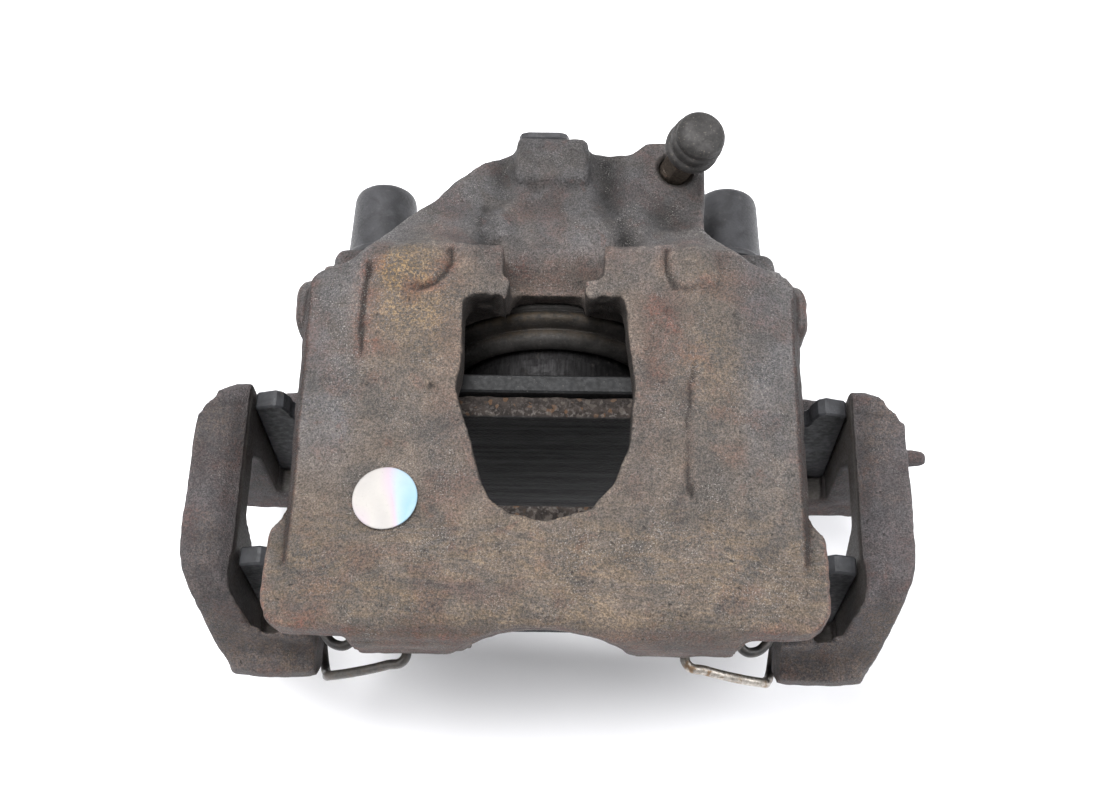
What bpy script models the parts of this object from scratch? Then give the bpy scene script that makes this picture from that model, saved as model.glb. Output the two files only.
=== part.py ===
"""Floating single-piston brake caliper with its carrier, pads and fittings.

Sizes are in millimetres and are turned into metres when a mesh is made. Shapes
are drawn in the caliper's working frame: X runs along the disc's tangent, with
"right" at +X; Y runs inboard, towards the knuckle; Z runs out to the bridge.
X and Z are zero on the piston axis, Y on the back of the inner pad. The part's
own origin is on the carrier's knuckle face, on the bolt line.
"""

import math

import bmesh
import bpy
from mathutils import Matrix, Vector

MILLIMETRE = 0.001
SIDES = (-1, 1)            # left, right

# ---------------------------------------------------------------- dimensions
KNUCKLE_Y = 16.0           # carrier's machined knuckle face
BOLT_X, BOLT_Z = 71.0, -48.0   # carrier bolt axes
BOLT_R = 6.3               # clearance bore for an M12 bolt

PLATE_T = 5.0              # thickness of a pad's backplate
PLATE_GAP = 0.1            # between backplate and friction block
INNER_FRICTION_Y = -11.5   # disc-side faces of the two friction blocks
OUTER_FRICTION_Y = -35.0
OUTER_PLATE_Y = -43.5      # disc-side face of the outer backplate
OUTER_BACK_Y = OUTER_PLATE_Y - PLATE_T
SHIM_GAP, SHIM_T = 0.3, 0.6
PAD_HALF = 77.9            # half the pad's length over its ears
ARM_IN, ARM_OUT = 78.3, 91.4   # faces of the carrier's arms
LEDGE_Z = -20.6            # carrier ledges under the pads' ears

PISTON_R, PISTON_Y0, PISTON_Y1 = 27.0, 1.3, 48.0
BORE_R, BORE_FRONT, BORE_END = 27.3, 20.0, 61.5
CYL_R, CYL_END = 37.0, 69.0
PIN_X, PIN_Z = 50.2, 0.0   # guide pin axes
PIN_R, THREAD_R = 4.7, 3.9
BUSH_R = PIN_R + 0.35      # bore of the guide bushings
EAR_FRONT, EAR_BACK = 29.0, 51.0   # outboard and inboard faces of the guide ears
BLEED_AT = Vector((33.1, 61.9, 37.0))
BLEED_DIR = Vector((0.234, -0.158, 0.959)).normalized()
BLEED_CAP_RISE = 18        # bleeder cap's origin, along the screw
PORT_X, PORT_Z, PORT_R = -3.0, 30.6, 4.6
WIRE_R = 1.25

ORIGIN = Vector((0.0, KNUCKLE_Y, BOLT_Z))

for old in list(bpy.data.objects):
    bpy.data.objects.remove(old, do_unlink=True)


# ------------------------------------------------------------ mesh utilities
def to_object(shape, name):
    """Turns a bmesh into a linked object, facing its normals outwards."""
    bmesh.ops.recalc_face_normals(shape, faces=shape.faces)
    mesh = bpy.data.meshes.new(name)
    shape.to_mesh(mesh)
    shape.free()
    obj = bpy.data.objects.new(name, mesh)
    bpy.context.scene.collection.objects.link(obj)
    return obj


def evaluated_mesh(obj):
    bpy.context.view_layer.update()
    graph = bpy.context.evaluated_depsgraph_get()
    return bpy.data.meshes.new_from_object(obj.evaluated_get(graph))


def apply_modifiers(obj):
    mesh = evaluated_mesh(obj)
    obj.modifiers.clear()
    obj.data = mesh
    return obj


def bevel(obj, width, segments=2, angle=35.0):
    modifier = obj.modifiers.new("edges", "BEVEL")
    modifier.width = width * MILLIMETRE
    modifier.segments = segments
    modifier.limit_method = "ANGLE"
    modifier.angle_limit = math.radians(angle)
    return apply_modifiers(obj)


def tidy(obj):
    """Welds crumbs a Boolean leaves and merges faces that lie in one plane."""
    crumb = 4e-6  # metres
    shape = bmesh.new()
    shape.from_mesh(obj.data)
    bmesh.ops.remove_doubles(shape, verts=shape.verts, dist=crumb)
    bmesh.ops.dissolve_degenerate(shape, edges=shape.edges, dist=crumb)
    bmesh.ops.dissolve_limit(shape, angle_limit=math.radians(0.3),
                             verts=shape.verts, edges=shape.edges)
    shape.to_mesh(obj.data)
    shape.free()
    return obj


def combine(target, other, operation):
    modifier = target.modifiers.new(operation.lower(), "BOOLEAN")
    modifier.operation = operation
    modifier.solver = "EXACT"
    modifier.object = other
    apply_modifiers(target)
    bpy.data.objects.remove(other, do_unlink=True)
    return tidy(target)


def join(target, *others):
    for other in others:
        combine(target, other, "UNION")
    return target


def cut(target, *others):
    for other in others:
        combine(target, other, "DIFFERENCE")
    return target


# ------------------------------------------------------------------ outlines
def mirrored(points):
    """The points on the other side of X = 0, in reverse order."""
    return [(-x, *rest) for x, *rest in reversed(points)]


def on_side(points, side):
    """Points drawn on the right, moved to the given side."""
    return points if side > 0 else mirrored(points)


def span(side, near, far):
    """Low and high X of a range measured away from the middle."""
    return sorted((side * near, side * far))


def symmetric(half):
    """A whole outline from its right half, which starts and ends on X = 0."""
    return half + [(-x, v) for x, v in reversed(half) if x > 1e-6]


def arc(centre, radius, start, end, count):
    """Points along an arc, with angles in degrees."""
    angles = [math.radians(start + (end - start) * i / count) for i in range(count + 1)]
    return [(centre[0] + radius * math.cos(angle), centre[1] + radius * math.sin(angle))
            for angle in angles]


# -------------------------------------------------------------------- solids
# (first outline axis, second outline axis, extrusion) to (x, y, z)
PLANES = {
    "XZ": lambda u, v, depth: Vector((u, depth, v)),
    "XY": lambda u, v, depth: Vector((u, v, depth)),
    "YZ": lambda u, v, depth: Vector((depth, u, v)),
}


def prism(name, outline, plane, low, high):
    """A polygon drawn in a plane and extruded along the axis across it."""
    locate = PLANES[plane]
    shape = bmesh.new()
    verts = [shape.verts.new(locate(u, v, low) * MILLIMETRE) for u, v in outline]
    face = shape.faces.new(verts)
    extruded = bmesh.ops.extrude_face_region(shape, geom=[face])
    moved = [item for item in extruded["geom"] if isinstance(item, bmesh.types.BMVert)]
    shift = (locate(0, 0, high) - locate(0, 0, low)) * MILLIMETRE
    bmesh.ops.translate(shape, verts=moved, vec=shift)
    return to_object(shape, name)


def prism_pair(name, outline, plane, low, high):
    """A prism and its mirror image across X = 0."""
    return (prism(name, outline, plane, low, high),
            prism(name, mirrored(outline), plane, low, high))


def box(name, low, high, rounding, segments=2):
    outline = [(low[0], low[1]), (high[0], low[1]), (high[0], high[1]), (low[0], high[1])]
    return bevel(prism(name, outline, "XY", low[2], high[2]), rounding, segments)


def side_box(name, side, low, high, rounding, segments=2):
    """A box given by its right-hand corners, built on either side."""
    x_low, x_high = span(side, low[0], high[0])
    return box(name, (x_low, *low[1:]), (x_high, *high[1:]), rounding, segments)


def lathe(name, profile, steps, at=(0, 0, 0), axis=(0, 1, 0), closed=False):
    """Turns (radius, height) points about an axis. A closed profile is a ring."""
    shape = bmesh.new()
    verts = [shape.verts.new((radius * MILLIMETRE, 0, height * MILLIMETRE))
             for radius, height in profile]
    edges = [shape.edges.new(pair) for pair in zip(verts, verts[1:])]
    if closed:
        edges.append(shape.edges.new((verts[-1], verts[0])))
    bmesh.ops.spin(shape, geom=verts + edges, cent=(0, 0, 0), axis=(0, 0, 1),
                   angle=math.tau, steps=steps, use_merge=True, use_duplicate=False)
    bmesh.ops.remove_doubles(shape, verts=shape.verts, dist=1e-6)
    # profile edges lying on the axis leave loose edges
    loose = [edge for edge in shape.edges if not edge.link_faces]
    bmesh.ops.delete(shape, geom=loose, context="EDGES")
    turn = Vector((0, 0, 1)).rotation_difference(Vector(axis).normalized())
    shape.transform(Matrix.Translation(Vector(at) * MILLIMETRE) @ turn.to_matrix().to_4x4())
    return to_object(shape, name)


def bridge_rims(obj):
    """Joins the two open rims where an open profile starts and ends."""
    shape = bmesh.new()
    shape.from_mesh(obj.data)
    bmesh.ops.bridge_loops(shape, edges=[edge for edge in shape.edges if edge.is_boundary])
    bmesh.ops.recalc_face_normals(shape, faces=shape.faces)
    shape.to_mesh(obj.data)
    shape.free()
    return obj


def rod(name, radius, start, end, steps):
    start, end = Vector(start), Vector(end)
    length = (end - start).length
    profile = [(0, 0), (radius, 0), (radius, length), (0, length)]
    return lathe(name, profile, steps, start, end - start)


def hexagon(name, across_flats, start, end):
    return rod(name, across_flats / math.sqrt(3), start, end, 6)


def tube(name, points, radius):
    """A round wire along a smoothed path, with closed ends."""
    curve = bpy.data.curves.new(name, "CURVE")
    curve.dimensions = "3D"
    curve.bevel_depth = radius * MILLIMETRE
    curve.bevel_resolution = 1
    curve.use_fill_caps = True
    curve.resolution_u = 2
    spline = curve.splines.new("BEZIER")
    spline.bezier_points.add(len(points) - 1)
    for bezier_point, at in zip(spline.bezier_points, points):
        bezier_point.co = Vector(at) * MILLIMETRE
        bezier_point.handle_left_type = bezier_point.handle_right_type = "AUTO"
    obj = bpy.data.objects.new(name, curve)
    bpy.context.scene.collection.objects.link(obj)
    mesh = evaluated_mesh(obj)
    bpy.data.objects.remove(obj, do_unlink=True)
    shape = bmesh.new()
    shape.from_mesh(mesh)
    bmesh.ops.remove_doubles(shape, verts=shape.verts, dist=1e-6)
    return to_object(shape, name)


def pin_point(side, y):
    """A point on a guide pin's axis."""
    return (side * PIN_X, y, PIN_Z)


def pin_rod(name, radius, side, y_start, y_end, steps):
    return rod(name, radius, pin_point(side, y_start), pin_point(side, y_end), steps)


def bleed_point(distance):
    """A point on the bleeder's axis, measured outwards from its seat."""
    return BLEED_AT + BLEED_DIR * distance


# ------------------------------------------------------------------ assembly
def empty(name, at, parent=None):
    """An assembly's origin, at a point of the working frame."""
    obj = bpy.data.objects.new(name, None)
    obj.empty_display_size = 0.02
    bpy.context.scene.collection.objects.link(obj)
    obj.location = (Vector(at) - ORIGIN) * MILLIMETRE
    if parent:
        obj.parent = parent
        obj.location -= parent.matrix_world.translation
    bpy.context.view_layer.update()
    return obj


def place(obj, material, parent, at=(0, 0, 0), smooth=40.0):
    """Moves the origin to a point of the working frame and hangs the piece on its body."""
    at = Vector(at)
    obj.data.transform(Matrix.Translation(-at * MILLIMETRE))
    obj.parent = parent
    obj.location = (at - ORIGIN) * MILLIMETRE - parent.matrix_world.translation
    obj.data.materials.clear()
    obj.data.materials.append(material)
    obj.data.shade_smooth()
    obj.data.set_sharp_from_angle(angle=math.radians(smooth))


CARRIER_BODY = empty("carrier_assembly", ORIGIN)
HOUSING_BODY = empty("housing_assembly", (0, 40, 0), CARRIER_BODY)
PISTON_BODY = empty("piston_assembly", (0, 24, 0), HOUSING_BODY)
INNER_PAD_BODY = empty("inner_pad_assembly", (0, 0, 0), CARRIER_BODY)
OUTER_PAD_BODY = empty("outer_pad_assembly", (0, OUTER_PLATE_Y - PLATE_T / 2, 0), CARRIER_BODY)
BLEEDER_BODY = empty("bleeder_assembly", BLEED_AT, HOUSING_BODY)
CAP_BODY = empty("bleeder_cap_assembly", bleed_point(BLEED_CAP_RISE), BLEEDER_BODY)


# ----------------------------------------------------------------- materials
def finish(name, color, roughness, metallic):
    material = bpy.data.materials.new(name)
    material.use_nodes = True
    inputs = material.node_tree.nodes["Principled BSDF"].inputs
    inputs["Base Color"].default_value = (*color, 1.0)
    inputs["Roughness"].default_value = roughness
    inputs["Metallic"].default_value = metallic
    return material


CAST_WARM = finish("cast_iron_housing", color=(0.135, 0.112, 0.092), roughness=0.78, metallic=0.35)
CAST_DARK = finish("cast_iron_carrier", color=(0.085, 0.074, 0.068), roughness=0.72, metallic=0.4)
PLATE = finish("painted_backplate", color=(0.060, 0.061, 0.064), roughness=0.55, metallic=0.2)
FRICTION = finish("friction_material", color=(0.085, 0.060, 0.052), roughness=0.92, metallic=0.05)
SHIM = finish("zinc_shim", color=(0.33, 0.33, 0.34), roughness=0.45, metallic=0.9)
CHROME = finish("piston_steel", color=(0.42, 0.42, 0.43), roughness=0.28, metallic=1.0)
STEEL = finish("plated_steel", color=(0.36, 0.34, 0.31), roughness=0.4, metallic=0.95)
SPRING = finish("spring_wire", color=(0.30, 0.27, 0.24), roughness=0.42, metallic=0.9)
RUBBER = finish("black_rubber", color=(0.028, 0.027, 0.026), roughness=0.7, metallic=0.0)
PLASTIC = finish("black_plastic", color=(0.030, 0.031, 0.033), roughness=0.55, metallic=0.0)
FOIL = finish("plain_foil_dot", color=(0.62, 0.66, 0.68), roughness=0.2, metallic=0.6)


# ------------------------------------------------------------------- carrier
# right half of the base plate (x, z): cross bar, guide pin boss, bolt lobe
BASE_HALF = [
    (0, -41.5), (17, -39.5), (30, -33.0), (38.2, -22.0), (41.2, -8.0), (41.6, 5.6),
    (45.4, 9.6), (50.2, 10.6), (55.4, 9.4), (59.4, 5.0), (61.6, -2.0), (65, -9.0),
    (76, -11.0), (86.5, -14.0), (88.5, -26.0), (87.5, -36), (85.6, -47.8), (83.4, -56.0),
    (77.4, -61.6), (70.0, -62.6), (62.0, -60.8), (48, -57.5), (0, -56.5),
]
# right arm over the disc, seen from above (x, y)
ARM_PLAN = [
    (ARM_IN, 1.4), (82.6, 1.4), (86.0, -1.2), (87.4, -4.8), (89.6, -6.6), (ARM_OUT, -9.6),
    (91.6, -20), (91.8, -45.0), (91.0, -51.0), (88.0, -58.0), (84.8, -64.6), (80.4, -69.8),
    (74.0, -71.0), (59.8, -70.4), (59.8, -62.6), (70.0, -62.6), (75.5, -61.0),
    (78.6, -56.0), (79.2, -50.0), (ARM_IN, -44.0),
]
# either arm from the side (y, z), arched over the disc
ARM_SIDE = [
    (6, -40), (6, 18.0), (1.6, 24.6), (-3.0, 29.4), (-50.0, 29.4), (-56.5, 25.5),
    (-62.5, 12.0), (-66.0, 4.6), (-80, 2.4), (-80, -12), (-58.5, -12), (-56.0, -26.2),
    (-37.2, -26.2), (-37.2, 3.0), (-33.0, 15.6), (-16.0, 15.6), (-12.0, 3.0), (-12.0, -40),
]
# small lug on the right-hand end (x, z)
LUG = [
    (84, -41.0), (100.0, -39.6), (109.6, -38.6), (112.0, -36.6), (111.2, -34.0),
    (107.6, -32.8), (98.0, -31.6), (84, -30.0),
]


def carrier_leg(side):
    """Inboard leg: a ledge under the pad's ear and a wall up its side to the arm."""
    def plan(inner_x):
        return on_side([(inner_x, -12.0), (inner_x, 4.8), (88.5, 4.8), (90.8, -1.0),
                        (91.2, -12.0)], side)

    leg = prism("leg", plan(66.2), "XY", -39.0, LEDGE_Z)
    join(leg, prism("wall", plan(ARM_IN), "XY", -36.0, 4.6))
    foot = [(-20, -39.5), (-20, -32.0), (-12, -33.0), (2, -39.5)]
    cut(leg, prism("leg_foot", foot, "YZ", -100, 100))
    return bevel(leg, 1.0, angle=30)


def carrier_arm(side):
    """Arm over the disc: plan outline and side profile intersected."""
    arm = prism("arm", on_side(ARM_PLAN, side), "XY", -26.0, 29.6)
    combine(arm, prism("arm_side", ARM_SIDE, "YZ", *span(side, 50.0, 100.0)), "INTERSECT")
    # the top edge nearest the middle is eased off
    ease = [(70, 40), (84.4, 40), (84.4, 29.6), (ARM_IN - 0.4, 25.4), (70, 25.4)]
    cut(arm, prism("ease", on_side(ease, side), "XZ", -58, 10))
    return bevel(arm, 1.3, angle=38)


def make_carrier():
    body = prism("carrier_bracket", symmetric(BASE_HALF), "XZ", 2.4, KNUCKLE_Y)
    bevel(body, 1.4, angle=30)
    # slants off the arms' lower outboard edge (y, z)
    toe = [(-80, -1.4), (-70.4, -2.0), (-64.0, -12.5), (-63.0, -20.0), (-80, -20.0)]
    for side in SIDES:
        # outboard abutment below the pad's ear
        seat = side_box("seat", side, (66.4, -55.8, -26.0), (84.0, -37.4, LEDGE_Z), 1.0)
        # horn the wire clip grips
        horn = side_box("horn", side, (59.8, -64.5, -11.6), (67.6, -57.0, 13.5), 1.0)
        rim = side_box("rim", side, (59.8, -70.2, -12.0), (82.0, -61.5, 1.8), 1.4)
        join(body, carrier_leg(side), carrier_arm(side), seat, horn, rim)
        cut(body, prism("toe", toe, "YZ", *span(side, 50.0, 100.0)))

    join(body, bevel(prism("lug", LUG, "XZ", 6.2, 10.4), 1.2, angle=40))
    for side in SIDES:
        bolt_x = side * BOLT_X
        cut(body, rod("bolt_hole", BOLT_R, (bolt_x, -8, BOLT_Z), (bolt_x, 30, BOLT_Z), 28))
        cut(body, pin_rod("pin_thread", THREAD_R + 0.3, side, -10, 30, 20))
    place(body, CAST_DARK, CARRIER_BODY)


# ------------------------------------------------------------------- housing
# bridge (x, z): a low roof, flat in the middle
ROOF = [
    (-64.4, 36.8), (-61.8, 45.3), (-36, 49.6), (36, 49.6), (61.8, 45.3), (64.4, 36.8),
    (57, 38.4), (-57, 38.4),
]
# cut from the bridge's right inboard corner (x, y)
BRIDGE_CORNER = [
    (70, 18), (64.8, 18), (62.6, 21.0), (60.6, 23.6), (56.5, 25.6), (51, 27.4),
    (46.5, 31.5), (46.5, 40), (70, 40),
]
# right half of the bridge's outboard edge (x, y)
WING_HALF = [
    (0, -38), (63.0, -38), (64.6, -42.5), (67.3, -45.7), (67.3, -64.5), (65.8, -68.3),
    (62.5, -70.6), (57, -71.2), (0, -71.2),
]
# bridge end, outboard wall and fingers (y, z)
FIST_SIDE = [
    (-46, 39.2), (-49.8, 36.5), (-49.8, -27), (-51.3, -29.5), (-54.2, -29.5), (-55.6, -27),
    (-66.0, 8), (-69.2, 18), (-71.8, 30), (-73.2, 38), (-72.9, 43.4), (-70.6, 47.8),
    (-66, 49.7), (-46, 49.7),
]
# web between the bridge and the cylinder (x, y)
WEB_PLAN = [
    (-62.0, 17), (62.0, 17), (62.2, 21.3), (60.2, 23.8), (56.5, 25.6), (51, 27.6),
    (46.5, 32.5), (40.4, 41.0), (40.4, 62.0), (37, 67.4), (22, 68.2), (-11.5, 67.8),
    (-19.4, 64.8), (-24.7, 60.2), (-28.0, 56.0), (-35.0, 49.4), (-43.0, 39.6),
    (-48.0, 32.6), (-51.5, 27.6), (-57.0, 25.4), (-60.5, 23.6), (-62.0, 21.0),
]
# left shoulder over a guide ear (x, y)
SHOULDER = [
    (-66.3, 12.6), (-64.2, 9.2), (-50.3, 9.2), (-50.3, 24.9), (-60.0, 25.2), (-65.0, 24.4),
    (-66.5, 21.8),
]
# bleeder boss (x, y)
BLEEDER_LOBE = [
    (21.5, 67.5), (25.0, 71.0), (37.5, 71.0), (41.0, 67.0), (41.0, 50.0), (38.5, 45.5),
    (24.0, 45.5), (19.5, 52.0), (19.5, 62.0),
]
# inspection window through the bridge (x, y)
WINDOW = [
    (-22.2, 13.8), (-21.8, -2.2), (-23.1, -10.5), (-18.8, -25.2), (-16.0, -35.5),
    (-13.4, -40.6), (-8.6, -43.6), (-0.3, -45.0), (10.4, -42.3), (16.3, -35.0),
    (19.9, -24.6), (21.1, -9.8), (19.2, 5.4), (18.8, 13.8), (17.2, 15.6), (11.2, 15.6),
    (9.2, 13.9), (8.4, 21.4), (-9.8, 21.4), (-11.5, 13.9), (-13.6, 15.6), (-20.4, 15.6),
]


def housing_bridge():
    body = prism("caliper_housing", ROOF, "XZ", -62, 31)
    cut(body, *prism_pair("corner", BRIDGE_CORNER, "XY", 30, 60))
    return bevel(body, 1.2, angle=25)


def housing_wings():
    """Outboard edge of the bridge with its two wings."""
    wings = bevel(prism("wings", symmetric(WING_HALF), "XY", 35.0, 49.3), 4.0, 3, angle=50)
    slope = [(34, 60), (80, 60), (80, 40.0), (61.4, 45.1), (36, 49.35), (34, 49.35)]
    cut(wings, *prism_pair("slope", slope, "XZ", -90, -20))
    # each wing starts below the bridge's side edge and rises to meet it (y, z)
    step = [(-30, 60), (-30, 40.2), (-44, 41.4), (-60, 44.7), (-80, 45.2), (-80, 60)]
    return cut(wings, prism("step", step, "YZ", 61.9, 80), prism("step", step, "YZ", -80, -61.9))


def housing_fist():
    fist = prism("fist", FIST_SIDE, "YZ", -46.5, 46.5)
    eave = [(36.0, 49.7), (70.0, 44.0), (70.0, 60.0), (36.0, 60.0)]
    cut(fist, *prism_pair("eave", eave, "XZ", -90, -20))
    return bevel(fist, 2.6, angle=60)


def housing_web():
    web = prism("web", WEB_PLAN, "XY", 4, 45.8)
    # the top falls away from the bridge to the cylinder (y, z)
    fall = [(24, 60), (24, 46.4), (31, 45.8), (38, 41.0), (52, 36.1), (74, 34.3),
            (90, 34.3), (90, 60)]
    # the underside rises towards the inboard end (y, z)
    under = [(90, -10), (90, 24), (46, 24), (34, 15), (27, 2), (27, -10)]
    # a wide valley runs inboard from the window's recess (x, z)
    valley = [(-26, 60), (-21, 45), (-14, 39.4), (14, 39.4), (21, 45), (26, 60)]
    cut(web, prism("fall", fall, "YZ", -80, 80))
    cut(web, prism("under", under, "YZ", -80, 80))
    bevel(web, 1.5, angle=28)
    return cut(web, prism("valley", valley, "XZ", 27.6, 60))


def housing_cylinder():
    length = CYL_END - BORE_FRONT
    profile = [(0, 0), (35.2, 0), (CYL_R, 1.8), (CYL_R, 44.6), (34.6, length - 1.2),
               (31.5, length), (0, length)]
    return lathe("cylinder", profile, 40, at=(0, BORE_FRONT, 0))


def housing_shoulders():
    pair = prism_pair("shoulder", SHOULDER, "XY", 27.2, 40.8)
    return [bevel(shoulder, 2.6, angle=60) for shoulder in pair]


def housing_ears():
    """Guide ears, hanging from the shoulders, each with a web."""
    ears = []
    for side in SIDES:
        ears.append(side_box("ear", side, (38.5, EAR_FRONT, -12.0), (62.6, EAR_BACK, 12.4),
                             3.4, segments=3))
        ears.append(side_box("ear_web", side, (34.0, 18.5, 8.0), (62.2, 35.0, 31.0), 2.5))
    return ears


def bleeder_boss():
    boss = bevel(prism("bleeder_boss", BLEEDER_LOBE, "XY", 8.0, 37.4), 2.2, angle=30)
    # slants the top down towards the right (x, z)
    dip = [(18, 42), (18, 39.5), (30, 39.5), (42.5, 34.0), (50, 34.0), (50, 42)]
    return cut(boss, prism("dip", dip, "XZ", 40, 80))


def bridge_bosses():
    """Two low rounded bosses on the bridge, leaning slightly inboard."""
    left = [(0, 0), (11.5, 0), (10.5, 2.2), (7.5, 3.6), (0, 4.2)]
    right = [(0, 0), (10.5, 0), (9.8, 2.2), (7.0, 3.4), (0, 3.8)]
    return [lathe("boss", profile, 20, at=(x, 24.6, 45.9), axis=(0, 0.25, 1))
            for x, profile in ((-31.5, left), (34.5, right))]


def cut_openings(body):
    cut(body, prism("window", WINDOW, "XY", 30, 60))
    # recess at the window's inboard end, over the cylinder's outboard rim
    recess = [(-12.0, 20.0), (13.5, 20.0), (13.5, 33.0), (-12.0, 33.0)]
    cut(body, bevel(prism("recess", recess, "XY", 38.8, 60), 2.0, angle=60))
    # room for the boot, outboard of the cylinder
    cut(body, rod("boot_room", 35.6, (0, -20, 0), (0, BORE_FRONT, 0), 44))
    # round-topped space between the fingers, and a tilted scallop across the outboard face
    gap = arc((0, -2), 19.5, start=180, end=0, count=14) + [(22, -40), (-22, -40)]
    cut(body, prism("finger_gap", gap, "XZ", -90, -45))
    cut(body, rod("scallop", 45.0, (-0.5, -92.0, -40), (-0.5, -120.5, 55), 72))


def cut_bores(body):
    # bore with boot seat and seal groove: (radius, distance inboard of the cylinder's rim)
    depth = BORE_END - BORE_FRONT
    bore = [(0, -5), (33.4, -5), (33.4, 3.2), (BORE_R, 3.2), (BORE_R, 7.4), (30.5, 7.4),
            (30.5, 12.0), (BORE_R, 12.0), (BORE_R, depth - 2), (24.0, depth), (0, depth)]
    cut(body, lathe("bore", bore, 40, at=(0, BORE_FRONT, 0)))
    for side in SIDES:
        cut(body, pin_rod("guide_bore", 8.5, side, 10, 60, 24))
        cut(body, pin_rod("ear_face", 11.4, side, 5, EAR_FRONT + 0.2, 24))
    # hose port, cutting into the bore at its foot
    cut(body, rod("port", PORT_R, (PORT_X, 48, PORT_Z), (PORT_X, 80, PORT_Z), 20))
    # bleeder seat and its passage to the bore
    cut(body, rod("spot_face", 5.8, bleed_point(-0.6), bleed_point(14), 24))
    cut(body, rod("bleed_thread", 4.4, bleed_point(-13.8), bleed_point(12), 20))
    cut(body, rod("bleed_passage", 1.6, (17.0, 54.0, 14.0), bleed_point(-12.0), 12))
    # holes in the fist for the wire clips' tails
    for side in SIDES:
        cut(body, rod("clip_hole", 1.9, (side * 35, -58.5, 14.5), (side * 35, -90, 14.5), 12))


def make_housing():
    body = housing_bridge()
    port_boss = box("port_boss", (-10.6, 56.2, 20.0), (9.4, 70.6, 39.6), 1.8)
    join(body, housing_wings(), housing_fist(), housing_web(), housing_cylinder(),
         *housing_shoulders(), *housing_ears(), port_boss, bleeder_boss(), *bridge_bosses())
    cut_openings(body)
    cut_bores(body)
    place(body, CAST_WARM, HOUSING_BODY)


# ---------------------------------------------------------------- brake pads
# right halves of the outlines (x, z), from the top centre to the bottom centre
PLATE_HALF = [
    (0, 35.0), (30, 35.0), (44, 33.6), (54, 30.0), (60.5, 24.0), (63.5, 17.5), (66.0, 15.6),
    (68.0, 15.8), (68.9, 17.4), (69.2, 20.0), (70.4, 22.8), (72.6, 24.0), (PAD_HALF, 22.2),
    (PAD_HALF, -19.0), (76.9, -20.0), (63.4, -20.0), (61.6, -21.6), (59.5, -26.5),
    (54.0, -31.0), (42, -32.6), (20, -32.4), (0, -32.0),
]
FRICTION_HALF = [
    (0, 33.4), (30, 33.4), (43, 32.0), (52.4, 28.4), (57.5, 22.0), (60.0, 8.0), (60.0, -4.0),
    (57.0, -22.0), (52.5, -28.4), (42, -30.6), (20, -30.2), (0, -29.8),
]
SHIM_HALF = [
    (0, 30.5), (34, 30.5), (46, 27.0), (53, 20.0), (55.5, 6.0), (54.0, -14.0), (48.0, -24.0),
    (20, -23.5), (0, -22.8),
]
# one leg of the inner pad's clip (distance from the pad's centre, y)
CLIP_LEG = [
    (-1.0, 1.2), (8.6, 1.2), (14.4, 3.0), (17.1, 6.4), (17.5, 11.0), (16.6, 11.0),
    (16.0, 7.0), (13.8, 4.2), (8.3, 2.3), (-1.0, 2.3),
]


def make_pad(name, body, plate_span, friction_span):
    """A backplate and its friction block, each over a (low, high) range of Y."""
    plate = prism(name + "_backplate", symmetric(PLATE_HALF), "XZ", *plate_span)
    place(bevel(plate, 0.5, segments=1, angle=40), PLATE, body)
    block = prism(name + "_friction", symmetric(FRICTION_HALF), "XZ", *friction_span)
    place(block, FRICTION, body)


def make_shims():
    """Thin sheets on the pads' backs; the inner one has a hole for the clip."""
    sheet = symmetric(SHIM_HALF)
    outer_face = OUTER_BACK_Y - SHIM_GAP
    outer = prism("outer_pad_shim", sheet, "XZ", outer_face - SHIM_T, outer_face)
    place(outer, SHIM, OUTER_PAD_BODY)
    inner = prism("inner_pad_shim", sheet, "XZ", SHIM_GAP, SHIM_GAP + SHIM_T)
    cut(inner, rod("shim_hole", 9.0, (0, -5, 0), (0, 5, 0), 32))
    place(inner, SHIM, INNER_PAD_BODY)


def make_pad_clip():
    """Spring clip on the inner pad: a round boss and three legs into the piston."""
    boss = [(0, 0.3), (6.5, 0.3), (6.5, 1.6), (3.0, 2.2), (0, 2.2)]
    clip = lathe("inner_pad_clip", boss, 24)
    for i in range(3):
        leg = prism("leg", CLIP_LEG, "XY", -3.0, 3.0)
        leg.data.transform(Matrix.Rotation(math.radians(90 + 120 * i), 4, "Y"))
        join(clip, leg)
    place(clip, SPRING, INNER_PAD_BODY)


def make_pads():
    make_pad("inner_pad", INNER_PAD_BODY, (-PLATE_T, 0.0),
             (INNER_FRICTION_Y, -PLATE_T - PLATE_GAP))
    make_pad("outer_pad", OUTER_PAD_BODY, (OUTER_BACK_Y, OUTER_PLATE_Y),
             (OUTER_PLATE_Y + PLATE_GAP, OUTER_FRICTION_Y))
    make_shims()
    make_pad_clip()


# ------------------------------------------------------- piston, seal and boot
def make_piston():
    """A cup open towards the pad, with a groove for the boot's lip."""
    length = PISTON_Y1 - PISTON_Y0
    profile = [(19.0, 0.0), (25.6, 0.0), (PISTON_R, 1.2), (PISTON_R, 7.2), (25.7, 7.8),
               (25.7, 10.6), (PISTON_R, 11.2), (PISTON_R, length - 1.6), (25.4, length),
               (0, length), (0, 36.0), (17.6, 36.0), (18.6, 34.8), (18.6, 1.0)]
    piston = bridge_rims(lathe("piston", profile, 36, at=(0, PISTON_Y0, 0)))
    place(piston, CHROME, PISTON_BODY)


def make_seal():
    profile = [(BORE_R, 27.8), (30.2, 27.8), (30.2, 31.6), (BORE_R, 31.6)]
    place(lathe("piston_seal", profile, 36, closed=True), RUBBER, HOUSING_BODY)


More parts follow.
